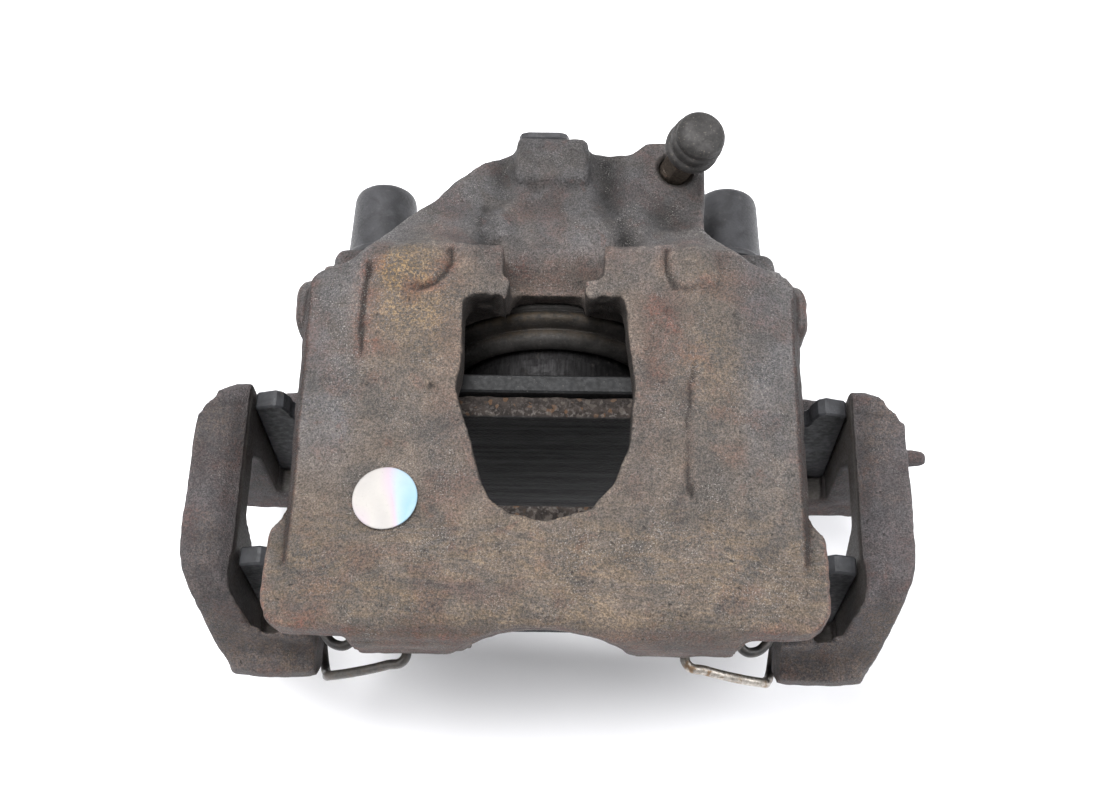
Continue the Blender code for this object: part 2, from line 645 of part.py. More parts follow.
def make_boot():
    """Bellows: bead in the housing, two folds, lip on the piston."""
    outer = [(33.0, 22.8), (33.0, 20.8), (32.2, 20.2), (33.6, 18.9), (33.6, 17.4),
             (32.0, 16.2), (30.0, 15.8), (30.9, 14.8), (30.9, 12.8), (29.4, 11.2), (27.5, 10.8)]
    inner = [(27.5, 12.2), (28.7, 12.6), (29.4, 13.4), (28.4, 14.6), (28.0, 16.0),
             (28.9, 17.4), (31.0, 17.8), (31.6, 18.4), (30.6, 19.6), (30.0, 21.0), (30.0, 22.8)]
    place(lathe("dust_boot", outer + inner, 32, closed=True), RUBBER, HOUSING_BODY)


# ------------------------------------------------------------- guide hardware
# profiles about a pin axis (radius, y)
PIN_PROFILE = [
    (0, 3.2), (3.2, 3.2), (THREAD_R, 4.0), (THREAD_R, 16.3), (5.9, 16.3), (5.9, 18.0),
    (PIN_R, 18.6), (PIN_R, 60.5), (6.1, 60.5), (6.1, 66.7), (5.4, 67.5), (0, 67.5),
]
BUSHING_PROFILE = [
    (BUSH_R, 22.5), (6.9, 22.5), (7.6, 23.3), (6.9, 24.2), (7.8, 25.2), (7.2, 26.2),
    (10.0, 26.6), (10.0, 28.6), (8.1, 28.9), (8.1, 53.4), (BUSH_R, 53.4),
]
GUIDE_CAP_PROFILE = [
    (8.45, 51.4), (10.4, 51.4), (10.4, 53.0), (9.9, 53.6), (9.1, 72.0), (8.6, 73.8),
    (7.3, 74.8), (0, 75.0), (0, 72.8), (6.6, 72.8), (7.4, 71.8), (8.3, 58.0),
]


def make_guide(side_name, side):
    axis_start = pin_point(side, 0)
    pin = lathe("guide_pin_" + side_name, PIN_PROFILE, 20, at=axis_start)
    cut(pin, hexagon("socket", 7.0, pin_point(side, 62.6), pin_point(side, 75)))
    place(pin, STEEL, CARRIER_BODY, at=pin_point(side, 30))
    bushing = lathe("guide_bushing_" + side_name, BUSHING_PROFILE, 20, at=axis_start, closed=True)
    place(bushing, RUBBER, HOUSING_BODY, at=pin_point(side, 40))
    cap = bridge_rims(lathe("guide_cap_" + side_name, GUIDE_CAP_PROFILE, 20, at=axis_start))
    place(cap, PLASTIC, HOUSING_BODY, at=pin_point(side, 60))


# ------------------------------------------------------- bleeder and hose port
# profiles about the bleeder's axis (radius, distance outwards from its seat)
SCREW_PROFILE = [
    (0, -13.2), (1.2, -13.0), (4.0, -9.8), (4.0, 0.8), (3.4, 1.2), (3.4, 2.0), (0, 2.0),
]
NIPPLE_PROFILE = [
    (0, 7.5), (2.9, 7.5), (2.6, 14.0), (3.3, 15.0), (3.3, 17.0), (2.4, 19.5), (0, 19.5),
]
BLEEDER_CAP_PROFILE = [
    (3.5, 8.8), (4.6, 8.8), (4.4, 12.0), (6.6, 12.5), (7.2, 13.4), (7.3, 15.6), (6.5, 16.4),
    (6.5, 17.0), (7.0, 17.6), (7.0, 19.6), (6.3, 20.4), (6.4, 21.0), (6.6, 22.0),
    (5.6, 23.8), (3.4, 24.8), (0, 25.2), (0, 21.6), (3.2, 21.6), (4.2, 20.4), (4.2, 14.2),
    (3.5, 13.4),
]


def make_bleeder_screw():
    screw = lathe("bleeder_screw", SCREW_PROFILE, 16, at=BLEED_AT, axis=BLEED_DIR)
    collar = hexagon("collar", 8.0, bleed_point(1.4), bleed_point(8.0))
    nipple = lathe("nipple", NIPPLE_PROFILE, 20, at=BLEED_AT, axis=BLEED_DIR)
    join(screw, collar, nipple)
    cut(screw, rod("bleed_bore", 0.9, bleed_point(-6.0), bleed_point(22), 10))
    # a slanting bore across the foot of the long one
    crossing, reach = bleed_point(-5.6), Vector((6, 0, -2.27))
    cut(screw, rod("cross_bore", 0.8, crossing - reach, crossing + reach, 8))
    place(screw, STEEL, BLEEDER_BODY, at=BLEED_AT)


def make_bleeder_cap():
    cap = lathe("bleeder_cap", BLEEDER_CAP_PROFILE, 16, at=BLEED_AT, axis=BLEED_DIR)
    place(bridge_rims(cap), RUBBER, CAP_BODY, at=bleed_point(BLEED_CAP_RISE))


def make_port_plug():
    """Transport plug: a stem in the port under a flat rounded-square flange."""
    stem = [(0, 54.0), (3.6, 54.0), (4.3, 55.0), (4.3, 72.0), (0, 72.0)]
    plug = lathe("hose_port_plug", stem, 20, at=(PORT_X, 0, PORT_Z))
    # one corner of the flange (x, z), repeated around the port's axis
    corner = [(6.9, 4.4), (6.2, 6.2), (4.4, 6.9)]
    outline = []
    for x_sign, z_sign in ((1, 1), (-1, 1), (-1, -1), (1, -1)):
        ordered = corner if x_sign == z_sign else corner[::-1]
        outline += [(PORT_X + x_sign * x, PORT_Z + z_sign * z) for x, z in ordered]
    flange = prism("flange", outline, "XZ", 70.9, 73.3)
    join(plug, bevel(flange, 0.5, segments=1, angle=50))
    place(plug, PLASTIC, HOUSING_BODY, at=(PORT_X, 70, PORT_Z))


# ------------------------------------------------------ wire clips and sticker
# right clip's centre line (x, y, z), from its tail in the fist
CLIP_PATH = [
    (35.0, -60.0, 14.5), (35.0, -66.0, 14.5), (35.4, -69.9, 14.3), (40.0, -70.6, 11.5),
    (50.0, -71.0, 5.0), (56.0, -70.5, 0.2), (57.7, -67.8, -9.0), (59.6, -64.5, -14.8),
    (61.0, -57.4, -15.4), (61.3, -52.8, -9.0), (60.6, -52.0, 2.0), (58.6, -53.6, 9.6),
    (57.2, -59.4, 13.4), (55.6, -64.0, 14.0), (52.0, -66.6, 14.4), (49.2, -66.0, 15.4),
    (48.2, -63.0, 17.4),
]


def make_wire_clip(side_name, side):
    clip = tube("retaining_clip_" + side_name, on_side(CLIP_PATH, side), WIRE_R)
    place(clip, SPRING, HOUSING_BODY, smooth=60)


def make_sticker():
    """Thin foil disc on the left of the bridge's outboard end."""
    profile = [(0, 0.35), (7.9, 0.35), (7.9, 0.6), (0, 0.6)]
    dot = lathe("foil_dot", profile, 40, at=(-38.5, -40.5, 49.45), axis=(-0.1, 0, 0.995))
    place(dot, FOIL, HOUSING_BODY)


make_carrier()
make_housing()
make_pads()
make_piston()
make_seal()
make_boot()
for name_of_side, side_sign in zip(("left", "right"), SIDES):
    make_guide(name_of_side, side_sign)
    make_wire_clip(name_of_side, side_sign)
make_bleeder_screw()
make_bleeder_cap()
make_port_plug()
make_sticker()
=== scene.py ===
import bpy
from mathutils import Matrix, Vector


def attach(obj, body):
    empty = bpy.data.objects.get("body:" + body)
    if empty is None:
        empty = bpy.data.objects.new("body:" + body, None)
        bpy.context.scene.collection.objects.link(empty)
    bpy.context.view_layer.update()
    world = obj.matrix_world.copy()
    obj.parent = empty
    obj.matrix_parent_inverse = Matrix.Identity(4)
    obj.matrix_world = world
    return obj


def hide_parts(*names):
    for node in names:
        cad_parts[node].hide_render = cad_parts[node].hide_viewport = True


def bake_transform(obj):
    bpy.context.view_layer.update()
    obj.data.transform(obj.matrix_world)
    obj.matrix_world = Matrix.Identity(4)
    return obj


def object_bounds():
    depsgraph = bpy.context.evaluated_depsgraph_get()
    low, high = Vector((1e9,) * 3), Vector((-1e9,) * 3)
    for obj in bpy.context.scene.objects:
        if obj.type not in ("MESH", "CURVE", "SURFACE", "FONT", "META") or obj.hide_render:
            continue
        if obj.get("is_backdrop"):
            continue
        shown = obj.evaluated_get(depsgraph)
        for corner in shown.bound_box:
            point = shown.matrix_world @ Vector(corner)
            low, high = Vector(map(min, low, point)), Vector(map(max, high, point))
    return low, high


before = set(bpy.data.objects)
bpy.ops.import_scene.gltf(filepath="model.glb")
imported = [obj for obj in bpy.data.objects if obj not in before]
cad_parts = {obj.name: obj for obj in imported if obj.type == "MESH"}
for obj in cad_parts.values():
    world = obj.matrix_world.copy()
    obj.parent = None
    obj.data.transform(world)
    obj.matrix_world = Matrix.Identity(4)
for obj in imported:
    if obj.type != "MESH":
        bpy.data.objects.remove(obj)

import math

import bmesh
import bpy
import numpy as np
from mathutils import Matrix, Vector

cad_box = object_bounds()

# Shapes are thought out in millimetres in the caliper's working frame: zero in X
# and Z on the piston axis, zero in Y on the inner pad's back. ORIGIN carries them over.
MM = 0.001
ORIGIN = np.array([0.0, 16.0, -48.0])
PIN_X = 50.2
BLEED_AT = Vector((33.1, 61.9, 37.0))
BLEED_DIR = Vector((0.234, -0.158, 0.959)).normalized()


# ------------------------------------------------------------ numeric helpers
def lattice(ix, iy, iz, seed):
    h = (ix * 374761393 + iy * 668265263 + iz * 1442695041 + seed * 1274126177) & 0xFFFFFFFF
    h = ((h ^ (h >> 13)) * 1274126177) & 0xFFFFFFFF
    h = ((h ^ (h >> 16)) * 2246822519) & 0xFFFFFFFF
    return ((h >> 8) & 0xFFFF) / 32767.5 - 1.0


def noise(p, size, seed=0):
    """Smooth value noise in -1..1 at points p (mm), with cells of the given size (mm or three sizes)."""
    q = p / np.asarray(size, dtype=float)
    i = np.floor(q).astype(np.int64)
    f = q - i
    f = f * f * f * (f * (f * 6 - 15) + 10)
    out = np.zeros(len(p))
    for dx in (0, 1):
        wx = f[:, 0] if dx else 1 - f[:, 0]
        for dy in (0, 1):
            wy = f[:, 1] if dy else 1 - f[:, 1]
            for dz in (0, 1):
                wz = f[:, 2] if dz else 1 - f[:, 2]
                out += wx * wy * wz * lattice(i[:, 0] + dx, i[:, 1] + dy, i[:, 2] + dz, seed)
    return out


def fractal(p, size, octaves, seed=0, gain=0.5):
    total, amp = np.zeros(len(p)), 1.0
    for k in range(octaves):
        total += amp * noise(p + 17.3 * k, np.asarray(size, dtype=float) / 2.03 ** k, seed + k)
        amp *= gain
    return total


def step(lo, hi, x):
    t = np.clip((x - lo) / (hi - lo), 0, 1)
    return t * t * (3 - 2 * t)


def to_line(x, y, points):
    """Distance from (x, y) to a polyline."""
    best = np.full(len(x), 1e9)
    for (ax, ay), (bx, by) in zip(points, points[1:]):
        ux, uy = bx - ax, by - ay
        t = np.clip(((x - ax) * ux + (y - ay) * uy) / (ux * ux + uy * uy), 0, 1)
        best = np.minimum(best, np.hypot(x - ax - t * ux, y - ay - t * uy))
    return best


# --------------------------------------------------------------- mesh helpers
def read(mesh):
    co = np.empty(len(mesh.vertices) * 3)
    mesh.vertices.foreach_get("co", co)
    edges = np.empty(len(mesh.edges) * 2, dtype=np.int32)
    mesh.edges.foreach_get("vertices", edges)
    return co.reshape(-1, 3) / MM + ORIGIN, edges.reshape(-1, 2)


def write(mesh, p):
    mesh.vertices.foreach_set("co", ((p - ORIGIN) * MM).ravel())
    mesh.update()


def normals(mesh):
    n = np.empty(len(mesh.vertices) * 3)
    mesh.vertices.foreach_get("normal", n)
    return n.reshape(-1, 3)


def around(values, edges, count):
    """Mean of each vertex's neighbours."""
    deg = np.maximum(np.bincount(edges.ravel(), minlength=count), 1)
    if values.ndim == 1:
        return (np.bincount(edges[:, 0], values[edges[:, 1]], count)
                + np.bincount(edges[:, 1], values[edges[:, 0]], count)) / deg
    return np.stack([around(values[:, k], edges, count) for k in range(values.shape[1])], axis=1)


def attribute(mesh, name, values):
    layer = mesh.attributes.new(name, "FLOAT", "POINT")
    layer.data.foreach_set("value", np.clip(values, 0, 1).astype(np.float32))


def add(name, mesh, material, body, slot, *nodes):
    obj = bpy.data.objects.new(name, mesh)
    bpy.context.scene.collection.objects.link(obj)
    mesh.materials.clear()
    mesh.materials.append(material)
    if nodes:
        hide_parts(*nodes)
    if body:
        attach(obj, body)
    return obj


def remeshed(node, voxel):
    """A dense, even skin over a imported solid."""
    tmp = bpy.data.objects.new("tmp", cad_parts[node].data.copy())
    bpy.context.scene.collection.objects.link(tmp)
    mod = tmp.modifiers.new("skin", "REMESH")
    mod.mode = "VOXEL"
    mod.voxel_size = voxel * MM
    bpy.context.view_layer.update()
    graph = bpy.context.evaluated_depsgraph_get()
    mesh = bpy.data.meshes.new_from_object(tmp.evaluated_get(graph))
    bpy.data.objects.remove(tmp, do_unlink=True)
    mesh.materials.clear()
    mesh.name = node + "_skin"
    mesh.polygons.foreach_set("use_smooth", [True] * len(mesh.polygons))
    return mesh


def relax(mesh, rounds, keep=None, hollow=0.9, crown=0.45):
    """Rounds edges a little and inside corners more, as a sand casting's fillets are."""
    p, edges = read(mesh)
    n = len(p)
    for _ in range(rounds):
        write(mesh, p)
        nor = normals(mesh)
        pull = around(p, edges, n) - p
        side = np.einsum("ij,ij->i", pull, nor)
        w = np.where(side > 0, hollow, crown)
        if keep is not None:
            w = w * (1 - keep(p, nor))
        p = p + pull * w[:, None]
    write(mesh, p)
    return p, edges


def bend_of(mesh, p, edges, blur=2):
    """Signed edge mask: above zero on crests, below zero in hollows."""
    nor = normals(mesh)
    side = -np.einsum("ij,ij->i", around(p, edges, len(p)) - p, nor)
    for _ in range(blur):
        side = 0.5 * side + 0.5 * around(side, edges, len(p))
    return side


def rounded(profile, passes=2, closed=True):
    """Corner-cut copy of a turned profile, so that its edges are soft."""
    pts = [Vector(q) for q in profile]
    for _ in range(passes):
        out = []
        count = len(pts)
        last = count if closed else count - 1
        for i in range(last):
            a, b = pts[i], pts[(i + 1) % count]
            length = (b - a).length
            cut = min(0.25, 0.45 / max(length, 1e-6)) if length > 1.8 else 0.25
            out += [a.lerp(b, cut), a.lerp(b, 1 - cut)]
        if not closed:
            out = [pts[0]] + out[1:-1] + [pts[-1]]
        pts = out
    return [(q.x, q.y) for q in pts]


def turned(name, profile, at, axis, steps=96, closed=True):
    """Turns (radius, height) points, in mm, about an axis of the working frame."""
    bm = bmesh.new()
    verts = [bm.verts.new((r * MM, 0, h * MM)) for r, h in profile]
    edges = [bm.edges.new(pair) for pair in zip(verts, verts[1:])]
    if closed:
        edges.append(bm.edges.new((verts[-1], verts[0])))
    bmesh.ops.spin(bm, geom=verts + edges, cent=(0, 0, 0), axis=(0, 0, 1), angle=math.tau, steps=steps,
                   use_merge=True, use_duplicate=False)
    bmesh.ops.remove_doubles(bm, verts=bm.verts, dist=2e-6)
    bmesh.ops.dissolve_degenerate(bm, edges=bm.edges, dist=1e-6)
    loose = [v for v in bm.verts if not v.link_faces]
    bmesh.ops.delete(bm, geom=loose, context="VERTS")
    turn = Vector((0, 0, 1)).rotation_difference(Vector(axis).normalized())
    shift = (Vector(at) - Vector(ORIGIN)) * MM
    bm.transform(Matrix.Translation(shift) @ turn.to_matrix().to_4x4())
    bmesh.ops.recalc_face_normals(bm, faces=bm.faces)
    mesh = bpy.data.meshes.new(name)
    bm.to_mesh(mesh)
    bm.free()
    mesh.shade_smooth()
    mesh.set_sharp_from_angle(angle=math.radians(50))
    return mesh


# ----------------------------------------------------------- material helpers
class Nodes:
    def __init__(self, name):
        self.mat = bpy.data.materials.new(name)
        self.mat.use_nodes = True
        self.tree = self.mat.node_tree
        self.bsdf = self.tree.nodes["Principled BSDF"]
        self.coord = self.tree.nodes.new("ShaderNodeTexCoord").outputs["Object"]

    def link(self, a, b):
        self.tree.links.new(a, b)

    def put(self, socket, value):
        if hasattr(value, "is_output"):
            self.link(value, socket)
        elif isinstance(value, (tuple, list)) and len(value) == 3 and socket.type == "RGBA":
            socket.default_value = (*value, 1.0)
        else:
            socket.default_value = value

    def place(self, scale=(1, 1, 1), turn=(0, 0, 0)):
        node = self.tree.nodes.new("ShaderNodeMapping")
        self.link(self.coord, node.inputs["Vector"])
        node.inputs["Scale"].default_value = scale
        node.inputs["Rotation"].default_value = turn
        return node.outputs["Vector"]

    def noise(self, size, detail=3.0, rough=0.55, warp=0.0, at=None):
        """Noise with features of about the given size in mm."""
        node = self.tree.nodes.new("ShaderNodeTexNoise")
        self.link(at or self.coord, node.inputs["Vector"])
        node.inputs["Scale"].default_value = 1000.0 / size
        node.inputs["Detail"].default_value = detail
        node.inputs["Roughness"].default_value = rough
        node.inputs["Distortion"].default_value = warp
        return node.outputs["Fac"]

    def cells(self, size, feature="F1", at=None, output="Distance"):
        node = self.tree.nodes.new("ShaderNodeTexVoronoi")
        node.feature = feature
        self.link(at or self.coord, node.inputs["Vector"])
        node.inputs["Scale"].default_value = 1000.0 / size
        return node.outputs[output]

    def ramp(self, value, lo, hi, a=0.0, b=1.0):
        node = self.tree.nodes.new("ShaderNodeMapRange")
        node.interpolation_type = "SMOOTHSTEP"
        self.put(node.inputs["Value"], value)
        for key, v in (("From Min", lo), ("From Max", hi), ("To Min", a), ("To Max", b)):
            node.inputs[key].default_value = v
        return node.outputs["Result"]

    def math(self, op, a, b=0.0, clamp=False):
        node = self.tree.nodes.new("ShaderNodeMath")
        node.operation = op
        node.use_clamp = clamp
        self.put(node.inputs[0], a)
        self.put(node.inputs[1], b)
        return node.outputs[0]

    def mix(self, fac, a, b, mode="MIX"):
        node = self.tree.nodes.new("ShaderNodeMix")
        node.data_type = "RGBA"
        node.blend_type = mode
        self.put(node.inputs["Factor"], fac)
        self.put(node.inputs["A"], a)
        self.put(node.inputs["B"], b)
        return node.outputs["Result"]

    def attr(self, name):
        node = self.tree.nodes.new("ShaderNodeAttribute")
        node.attribute_name = name
        return node.outputs["Fac"]

    def axis(self, index):
        node = self.tree.nodes.new("ShaderNodeSeparateXYZ")
        self.link(self.coord, node.inputs[0])
        return node.outputs[index]

    def bump(self, height, depth, below=None, strength=1.0):
        """Bump of the given depth in mm, laid over another bump."""
        node = self.tree.nodes.new("ShaderNodeBump")
        node.inputs["Strength"].default_value = strength
        node.inputs["Distance"].default_value = depth * MM
        self.link(height, node.inputs["Height"])
        if below is not None:
            self.link(below, node.inputs["Normal"])
        return node.outputs["Normal"]

    def done(self, color=None, rough=None, metal=None, normal=None, **more):
        for key, value in (("Base Color", color), ("Roughness", rough), ("Metallic", metal), ("Normal", normal)):
            if value is not None:
                self.put(self.bsdf.inputs[key], value)
        for key, value in more.items():
            self.put(self.bsdf.inputs[key.replace("_", " ")], value)
        return self.mat


def cast_iron(name, base, warm, gold, rust, cool, grain=1.0, tone=1.0, glints=0.62):
    """Old sand-cast iron: brake dust in smeared patches, golden film, rust, sand grain, worn crests, machined faces."""
    m = Nodes(name)
    smear = m.noise(26, 6, 0.62, 1.4)
    patch = m.noise(11, 5, 0.6, 0.9)
    mid = m.noise(4.0, 4, 0.62, 0.4)
    fine = m.noise(0.85, 4, 0.72)
    sand = m.noise(0.42, 2, 0.7)
    cell = m.cells(0.6)
    # dust colour, smeared in broad soft patches
    color = m.mix(m.ramp(smear, 0.36, 0.62), base, warm)
    color = m.mix(m.math("MULTIPLY", m.attr("cool"), m.ramp(patch, 0.30, 0.60, 0.55, 1.0)), color, cool)
    # film wiped on in crossing strokes
    strokes = m.noise(5.5, 6, 0.70, 2.6, m.place((0.30, 1, 1), (0, 0, 0.35)))
    wiped = m.math("MULTIPLY", m.attr("wiped"), m.ramp(strokes, 0.46, 0.60))
    color = m.mix(m.math("MULTIPLY", wiped, 0.55), color, tuple(0.30 * a + 0.70 * b for a, b in zip(gold, warm)))
    wiped = m.math("MULTIPLY", m.attr("wiped"), m.ramp(strokes, 0.47, 0.36))
    color = m.mix(m.math("MULTIPLY", wiped, 0.55), color, tuple(0.66 * c for c in base))
    # golden film, broken up by the grain
    film = m.math("MULTIPLY", m.attr("gold"), m.ramp(m.math("ADD", m.math("MULTIPLY", fine, 0.75), m.math("MULTIPLY", mid, 0.25)), 0.44, 0.58))
    color = m.mix(film, color, gold)
    # rust in creases and stray patches
    spots = m.ramp(m.noise(7.5, 6, 0.7, 1.0), 0.57, 0.70, 0.0, 0.55)
    rusty = m.math("MAXIMUM", m.math("MULTIPLY", m.attr("rust"), m.ramp(mid, 0.30, 0.62, 0.25, 1.0)), spots)
    rusty = m.math("MULTIPLY", rusty, m.ramp(fine, 0.36, 0.60, 0.35, 1.0))
    color = m.mix(m.math("MULTIPLY", rusty, 0.85), color, rust)
    # broad, middle and fine changes of tone, with painted shade in hollows and along the shade mask, and lighter worn
    # crests
    shade = m.math("MULTIPLY", m.ramp(smear, 0.34, 0.64, 0.86, 1.12), m.ramp(patch, 0.32, 0.64, 0.90, 1.08))
    shade = m.math("MULTIPLY", shade, m.ramp(mid, 0.32, 0.66, 0.92, 1.07))
    shade = m.math("MULTIPLY", shade, m.ramp(fine, 0.36, 0.62, 0.74, 1.22))
    shade = m.math("MULTIPLY", shade, m.ramp(sand, 0.34, 0.66, 0.60, 1.42))
    shade = m.math("MULTIPLY", shade, m.ramp(m.attr("hollow"), 0.0, 1.0, 1.0, 0.42))
    crest = m.math("MULTIPLY", m.attr("crest"), m.ramp(fine, 0.34, 0.62, 0.3, 1.0))
    shade = m.math("MULTIPLY", shade, m.ramp(crest, 0.0, 1.0, 1.0, 1.32))
    shade = m.math("MULTIPLY", shade, m.ramp(m.attr("shade"), 0.0, 1.0, 1.0, 0.28))
    shade = m.math("MULTIPLY", shade, tone)
    color = m.mix(1.0, color, shade, "MULTIPLY")
    # painted glints: pale specks in drifts stand in for highlights on the grain, and black pits
    sparkle = m.ramp(m.noise(0.36, 2, 0.7), 0.58, 0.68)
    drift = m.ramp(m.math("ADD", m.noise(9, 4, 0.65, 0.8), m.attr("glint")), 0.44, 0.68, 0.10, 1.0)
    sparkle = m.math("MULTIPLY", sparkle, drift)
    color = m.mix(m.math("MULTIPLY", sparkle, glints), color, (0.34, 0.32, 0.30))
    pits = m.ramp(m.noise(1.25, 2, 0.5, 0.3), 0.33, 0.25)
    color = m.mix(m.math("MULTIPLY", pits, 0.7), color, (0.016, 0.013, 0.012))
    # painted shade, with brake dust: surfaces inside the window that face away from the light are made near black
    color = m.mix(m.math("MULTIPLY", m.attr("soot_and_shade"), m.ramp(mid, 0.3, 0.6, 0.75, 0.95)), color, m.mix(m.ramp(fine, 0.4, 0.65), (0.010, 0.009, 0.0085), (0.030, 0.024, 0.021)))
    # machined faces: dulled metal with a turned lay under a brown film
    cut = m.attr("machined")
    lay = m.noise(0.5, 3, 0.6, 0, m.place((0.35, 1.0, 1.0)))
    metal = m.mix(m.ramp(lay, 0.3, 0.7), (0.084, 0.078, 0.074), (0.128, 0.120, 0.113))
    metal = m.mix(m.ramp(m.noise(15, 6, 0.7, 0.8), 0.42, 0.70, 0.0, 0.7), metal, (0.070, 0.050, 0.040))
    metal = m.mix(m.ramp(sand, 0.56, 0.68, 0.0, 0.35), metal, (0.055, 0.048, 0.043))
    color = m.mix(cut, color, metal)
    rough = m.ramp(fine, 0.3, 0.7, 0.62, 0.86)
    rough = m.math("SUBTRACT", rough, m.math("MULTIPLY", sparkle, 0.25))
    rough = m.math("SUBTRACT", rough, m.math("MULTIPLY", cut, 0.22), True)
    rugged = m.ramp(cut, 0.0, 1.0, 1.0, 0.12)
    below = m.bump(m.math("MULTIPLY", mid, rugged), 0.55 * grain)
    below = m.bump(m.math("MULTIPLY", fine, rugged), 0.62 * grain, below)
    below = m.bump(m.math("MULTIPLY", m.math("SUBTRACT", sand, m.math("MULTIPLY", pits, 0.8)), rugged), 0.34 * grain, below)
    normal = m.bump(m.math("MULTIPLY", m.math("SUBTRACT", 1.0, cell), rugged), 0.10 * grain, below)
    return m.done(color, rough, m.ramp(cut, 0.0, 1.0, 0.15, 0.7), normal, Specular_IOR_Level=0.36)


HOUSING = cast_iron("cast_iron_housing", (0.070, 0.062, 0.057), (0.088, 0.071, 0.059), (0.180, 0.118, 0.055),
                    (0.080, 0.035, 0.027), (0.073, 0.070, 0.072))
CARRIER = cast_iron("cast_iron_carrier", (0.046, 0.042, 0.043), (0.056, 0.049, 0.048), (0.080, 0.061, 0.042),
                    (0.056, 0.029, 0.024), (0.052, 0.050, 0.054), 0.7, 0.9, 0.3)


def rubber(name, color, ridge_highlight=None, dust=0.4):
    m = Nodes(name)
    fine = m.noise(0.8, 3, 0.6)
    mid = m.noise(5.0, 4, 0.6, 0.5)
    base = m.mix(m.ramp(mid, 0.35, 0.65), tuple(0.7 * c for c in color), tuple(1.5 * c for c in color))
    # painted highlight: a lighter colour laid on the ridges where given
    if ridge_highlight:
        base = m.mix(m.math("MULTIPLY", m.attr("ridge_highlight"), m.ramp(m.noise(2.2, 4, 0.65), 0.32, 0.6)), base, ridge_highlight)
    base = m.mix(m.math("MULTIPLY", m.ramp(m.noise(0.6, 2, 0.5), 0.60, 0.72), dust), base, (0.15, 0.13, 0.11))
    normal = m.bump(fine, 0.08, m.bump(mid, 0.2))
    return m.done(base, m.ramp(fine, 0.3, 0.7, 0.55, 0.78), 0.0, normal, Specular_IOR_Level=0.28)


def steel(name, light, dark, rough=0.34, streak=(1, 1, 1), rust=(0.11, 0.055, 0.03), rusty=0.5):
    m = Nodes(name)
    lay = m.noise(0.7, 4, 0.65, 0, m.place(streak))
    mid = m.noise(3.0, 5, 0.65, 0.6)
    color = m.mix(m.ramp(lay, 0.3, 0.7), dark, light)
    color = m.mix(m.ramp(mid, 0.56, 0.70, 0.0, rusty), color, rust)
    color = m.mix(m.ramp(m.noise(0.5, 2, 0.5), 0.33, 0.25, 0.0, 0.7), color, (0.02, 0.017, 0.015))
    normal = m.bump(lay, 0.03, m.bump(mid, 0.06))
    return m.done(color, m.ramp(mid, 0.4, 0.7, rough, rough + 0.3), m.ramp(mid, 0.58, 0.7, 0.95, 0.45), normal)


def painted(name, color, chip):
    m = Nodes(name)
    mid = m.noise(6.0, 4, 0.6, 0.4)
    fine = m.noise(1.2, 3, 0.6)
    out = m.mix(m.ramp(mid, 0.35, 0.65), tuple(0.72 * c for c in color), tuple(1.3 * c for c in color))
    # painted shade: the plate is darker in its middle, under the bridge, and lighter on its ears; the chips follow the
    # same mask
    middle = m.ramp(m.math("ABSOLUTE", m.axis(0)), 0.030, 0.055, 0.32, 1.25)
    out = m.mix(1.0, out, middle, "MULTIPLY")
    worn = m.math("MULTIPLY", m.ramp(m.noise(2.6, 5, 0.7, 0.4), 0.62, 0.72), middle)
    out = m.mix(m.math("MULTIPLY", worn, 0.5), out, chip)
    out = m.mix(m.ramp(m.noise(0.6, 2, 0.5), 0.66, 0.76, 0.0, 0.35), out, (0.14, 0.13, 0.12))
    normal = m.bump(fine, 0.06, m.bump(mid, 0.14))
    return m.done(out, m.ramp(fine, 0.3, 0.7, 0.46, 0.7), 0.15, normal, Specular_IOR_Level=0.35)


def friction(name):
    m = Nodes(name)
    flecks = m.cells(1.1, output="Color")
    tone = m.tree.nodes.new("ShaderNodeSeparateColor")
    m.link(flecks, tone.inputs[0])
    mid = m.noise(2.4, 4, 0.65)
    color = m.mix(m.ramp(mid, 0.35, 0.65), (0.013, 0.0105, 0.0096), (0.030, 0.024, 0.021))
    color = m.mix(m.ramp(tone.outputs[0], 0.86, 0.93, 0.0, 0.6), color, (0.070, 0.060, 0.052))
    color = m.mix(m.ramp(tone.outputs[1], 0.90, 0.95, 0.0, 0.6), color, (0.085, 0.046, 0.024))
    color = m.mix(m.math("MULTIPLY", m.attr("dust"), m.ramp(m.noise(0.8, 2, 0.6), 0.50, 0.66)), color,
                  (0.090, 0.080, 0.074))
    # the worn face is dark and streaked along the disc's travel
    face = m.attr("face")
    streak = m.noise(1.1, 5, 0.7, 0.1, m.place((0.035, 1.0, 1.0)))
    worn = m.mix(m.ramp(streak, 0.36, 0.66), (0.010, 0.0098, 0.0104), (0.026, 0.025, 0.0255))
    color = m.mix(face, color, worn)
    normal = m.bump(mid, 0.3, m.bump(m.noise(0.6, 2, 0.6), 0.18))
    return m.done(color, m.ramp(face, 0, 1, 0.92, 0.62), 0.03, normal, Specular_IOR_Level=0.25)


def wire(name):
    m = Nodes(name)
    lay = m.noise(0.8, 4, 0.65)
    mid = m.noise(2.4, 4, 0.65, 0.4)
    bright = m.mix(m.ramp(lay, 0.3, 0.7), (0.20, 0.18, 0.16), (0.42, 0.39, 0.35))
    bright = m.mix(m.ramp(mid, 0.52, 0.64), bright, (0.19, 0.13, 0.085))
    black = m.mix(m.ramp(mid, 0.4, 0.7), (0.018, 0.017, 0.017), (0.055, 0.046, 0.040))
    bare = m.attr("bare")
    color = m.mix(bare, black, bright)
    normal = m.bump(mid, 0.08, m.bump(lay, 0.05))
    return m.done(color, m.ramp(mid, 0.3, 0.7, 0.34, 0.6), m.ramp(bare, 0, 1, 0.3, 0.95), normal)


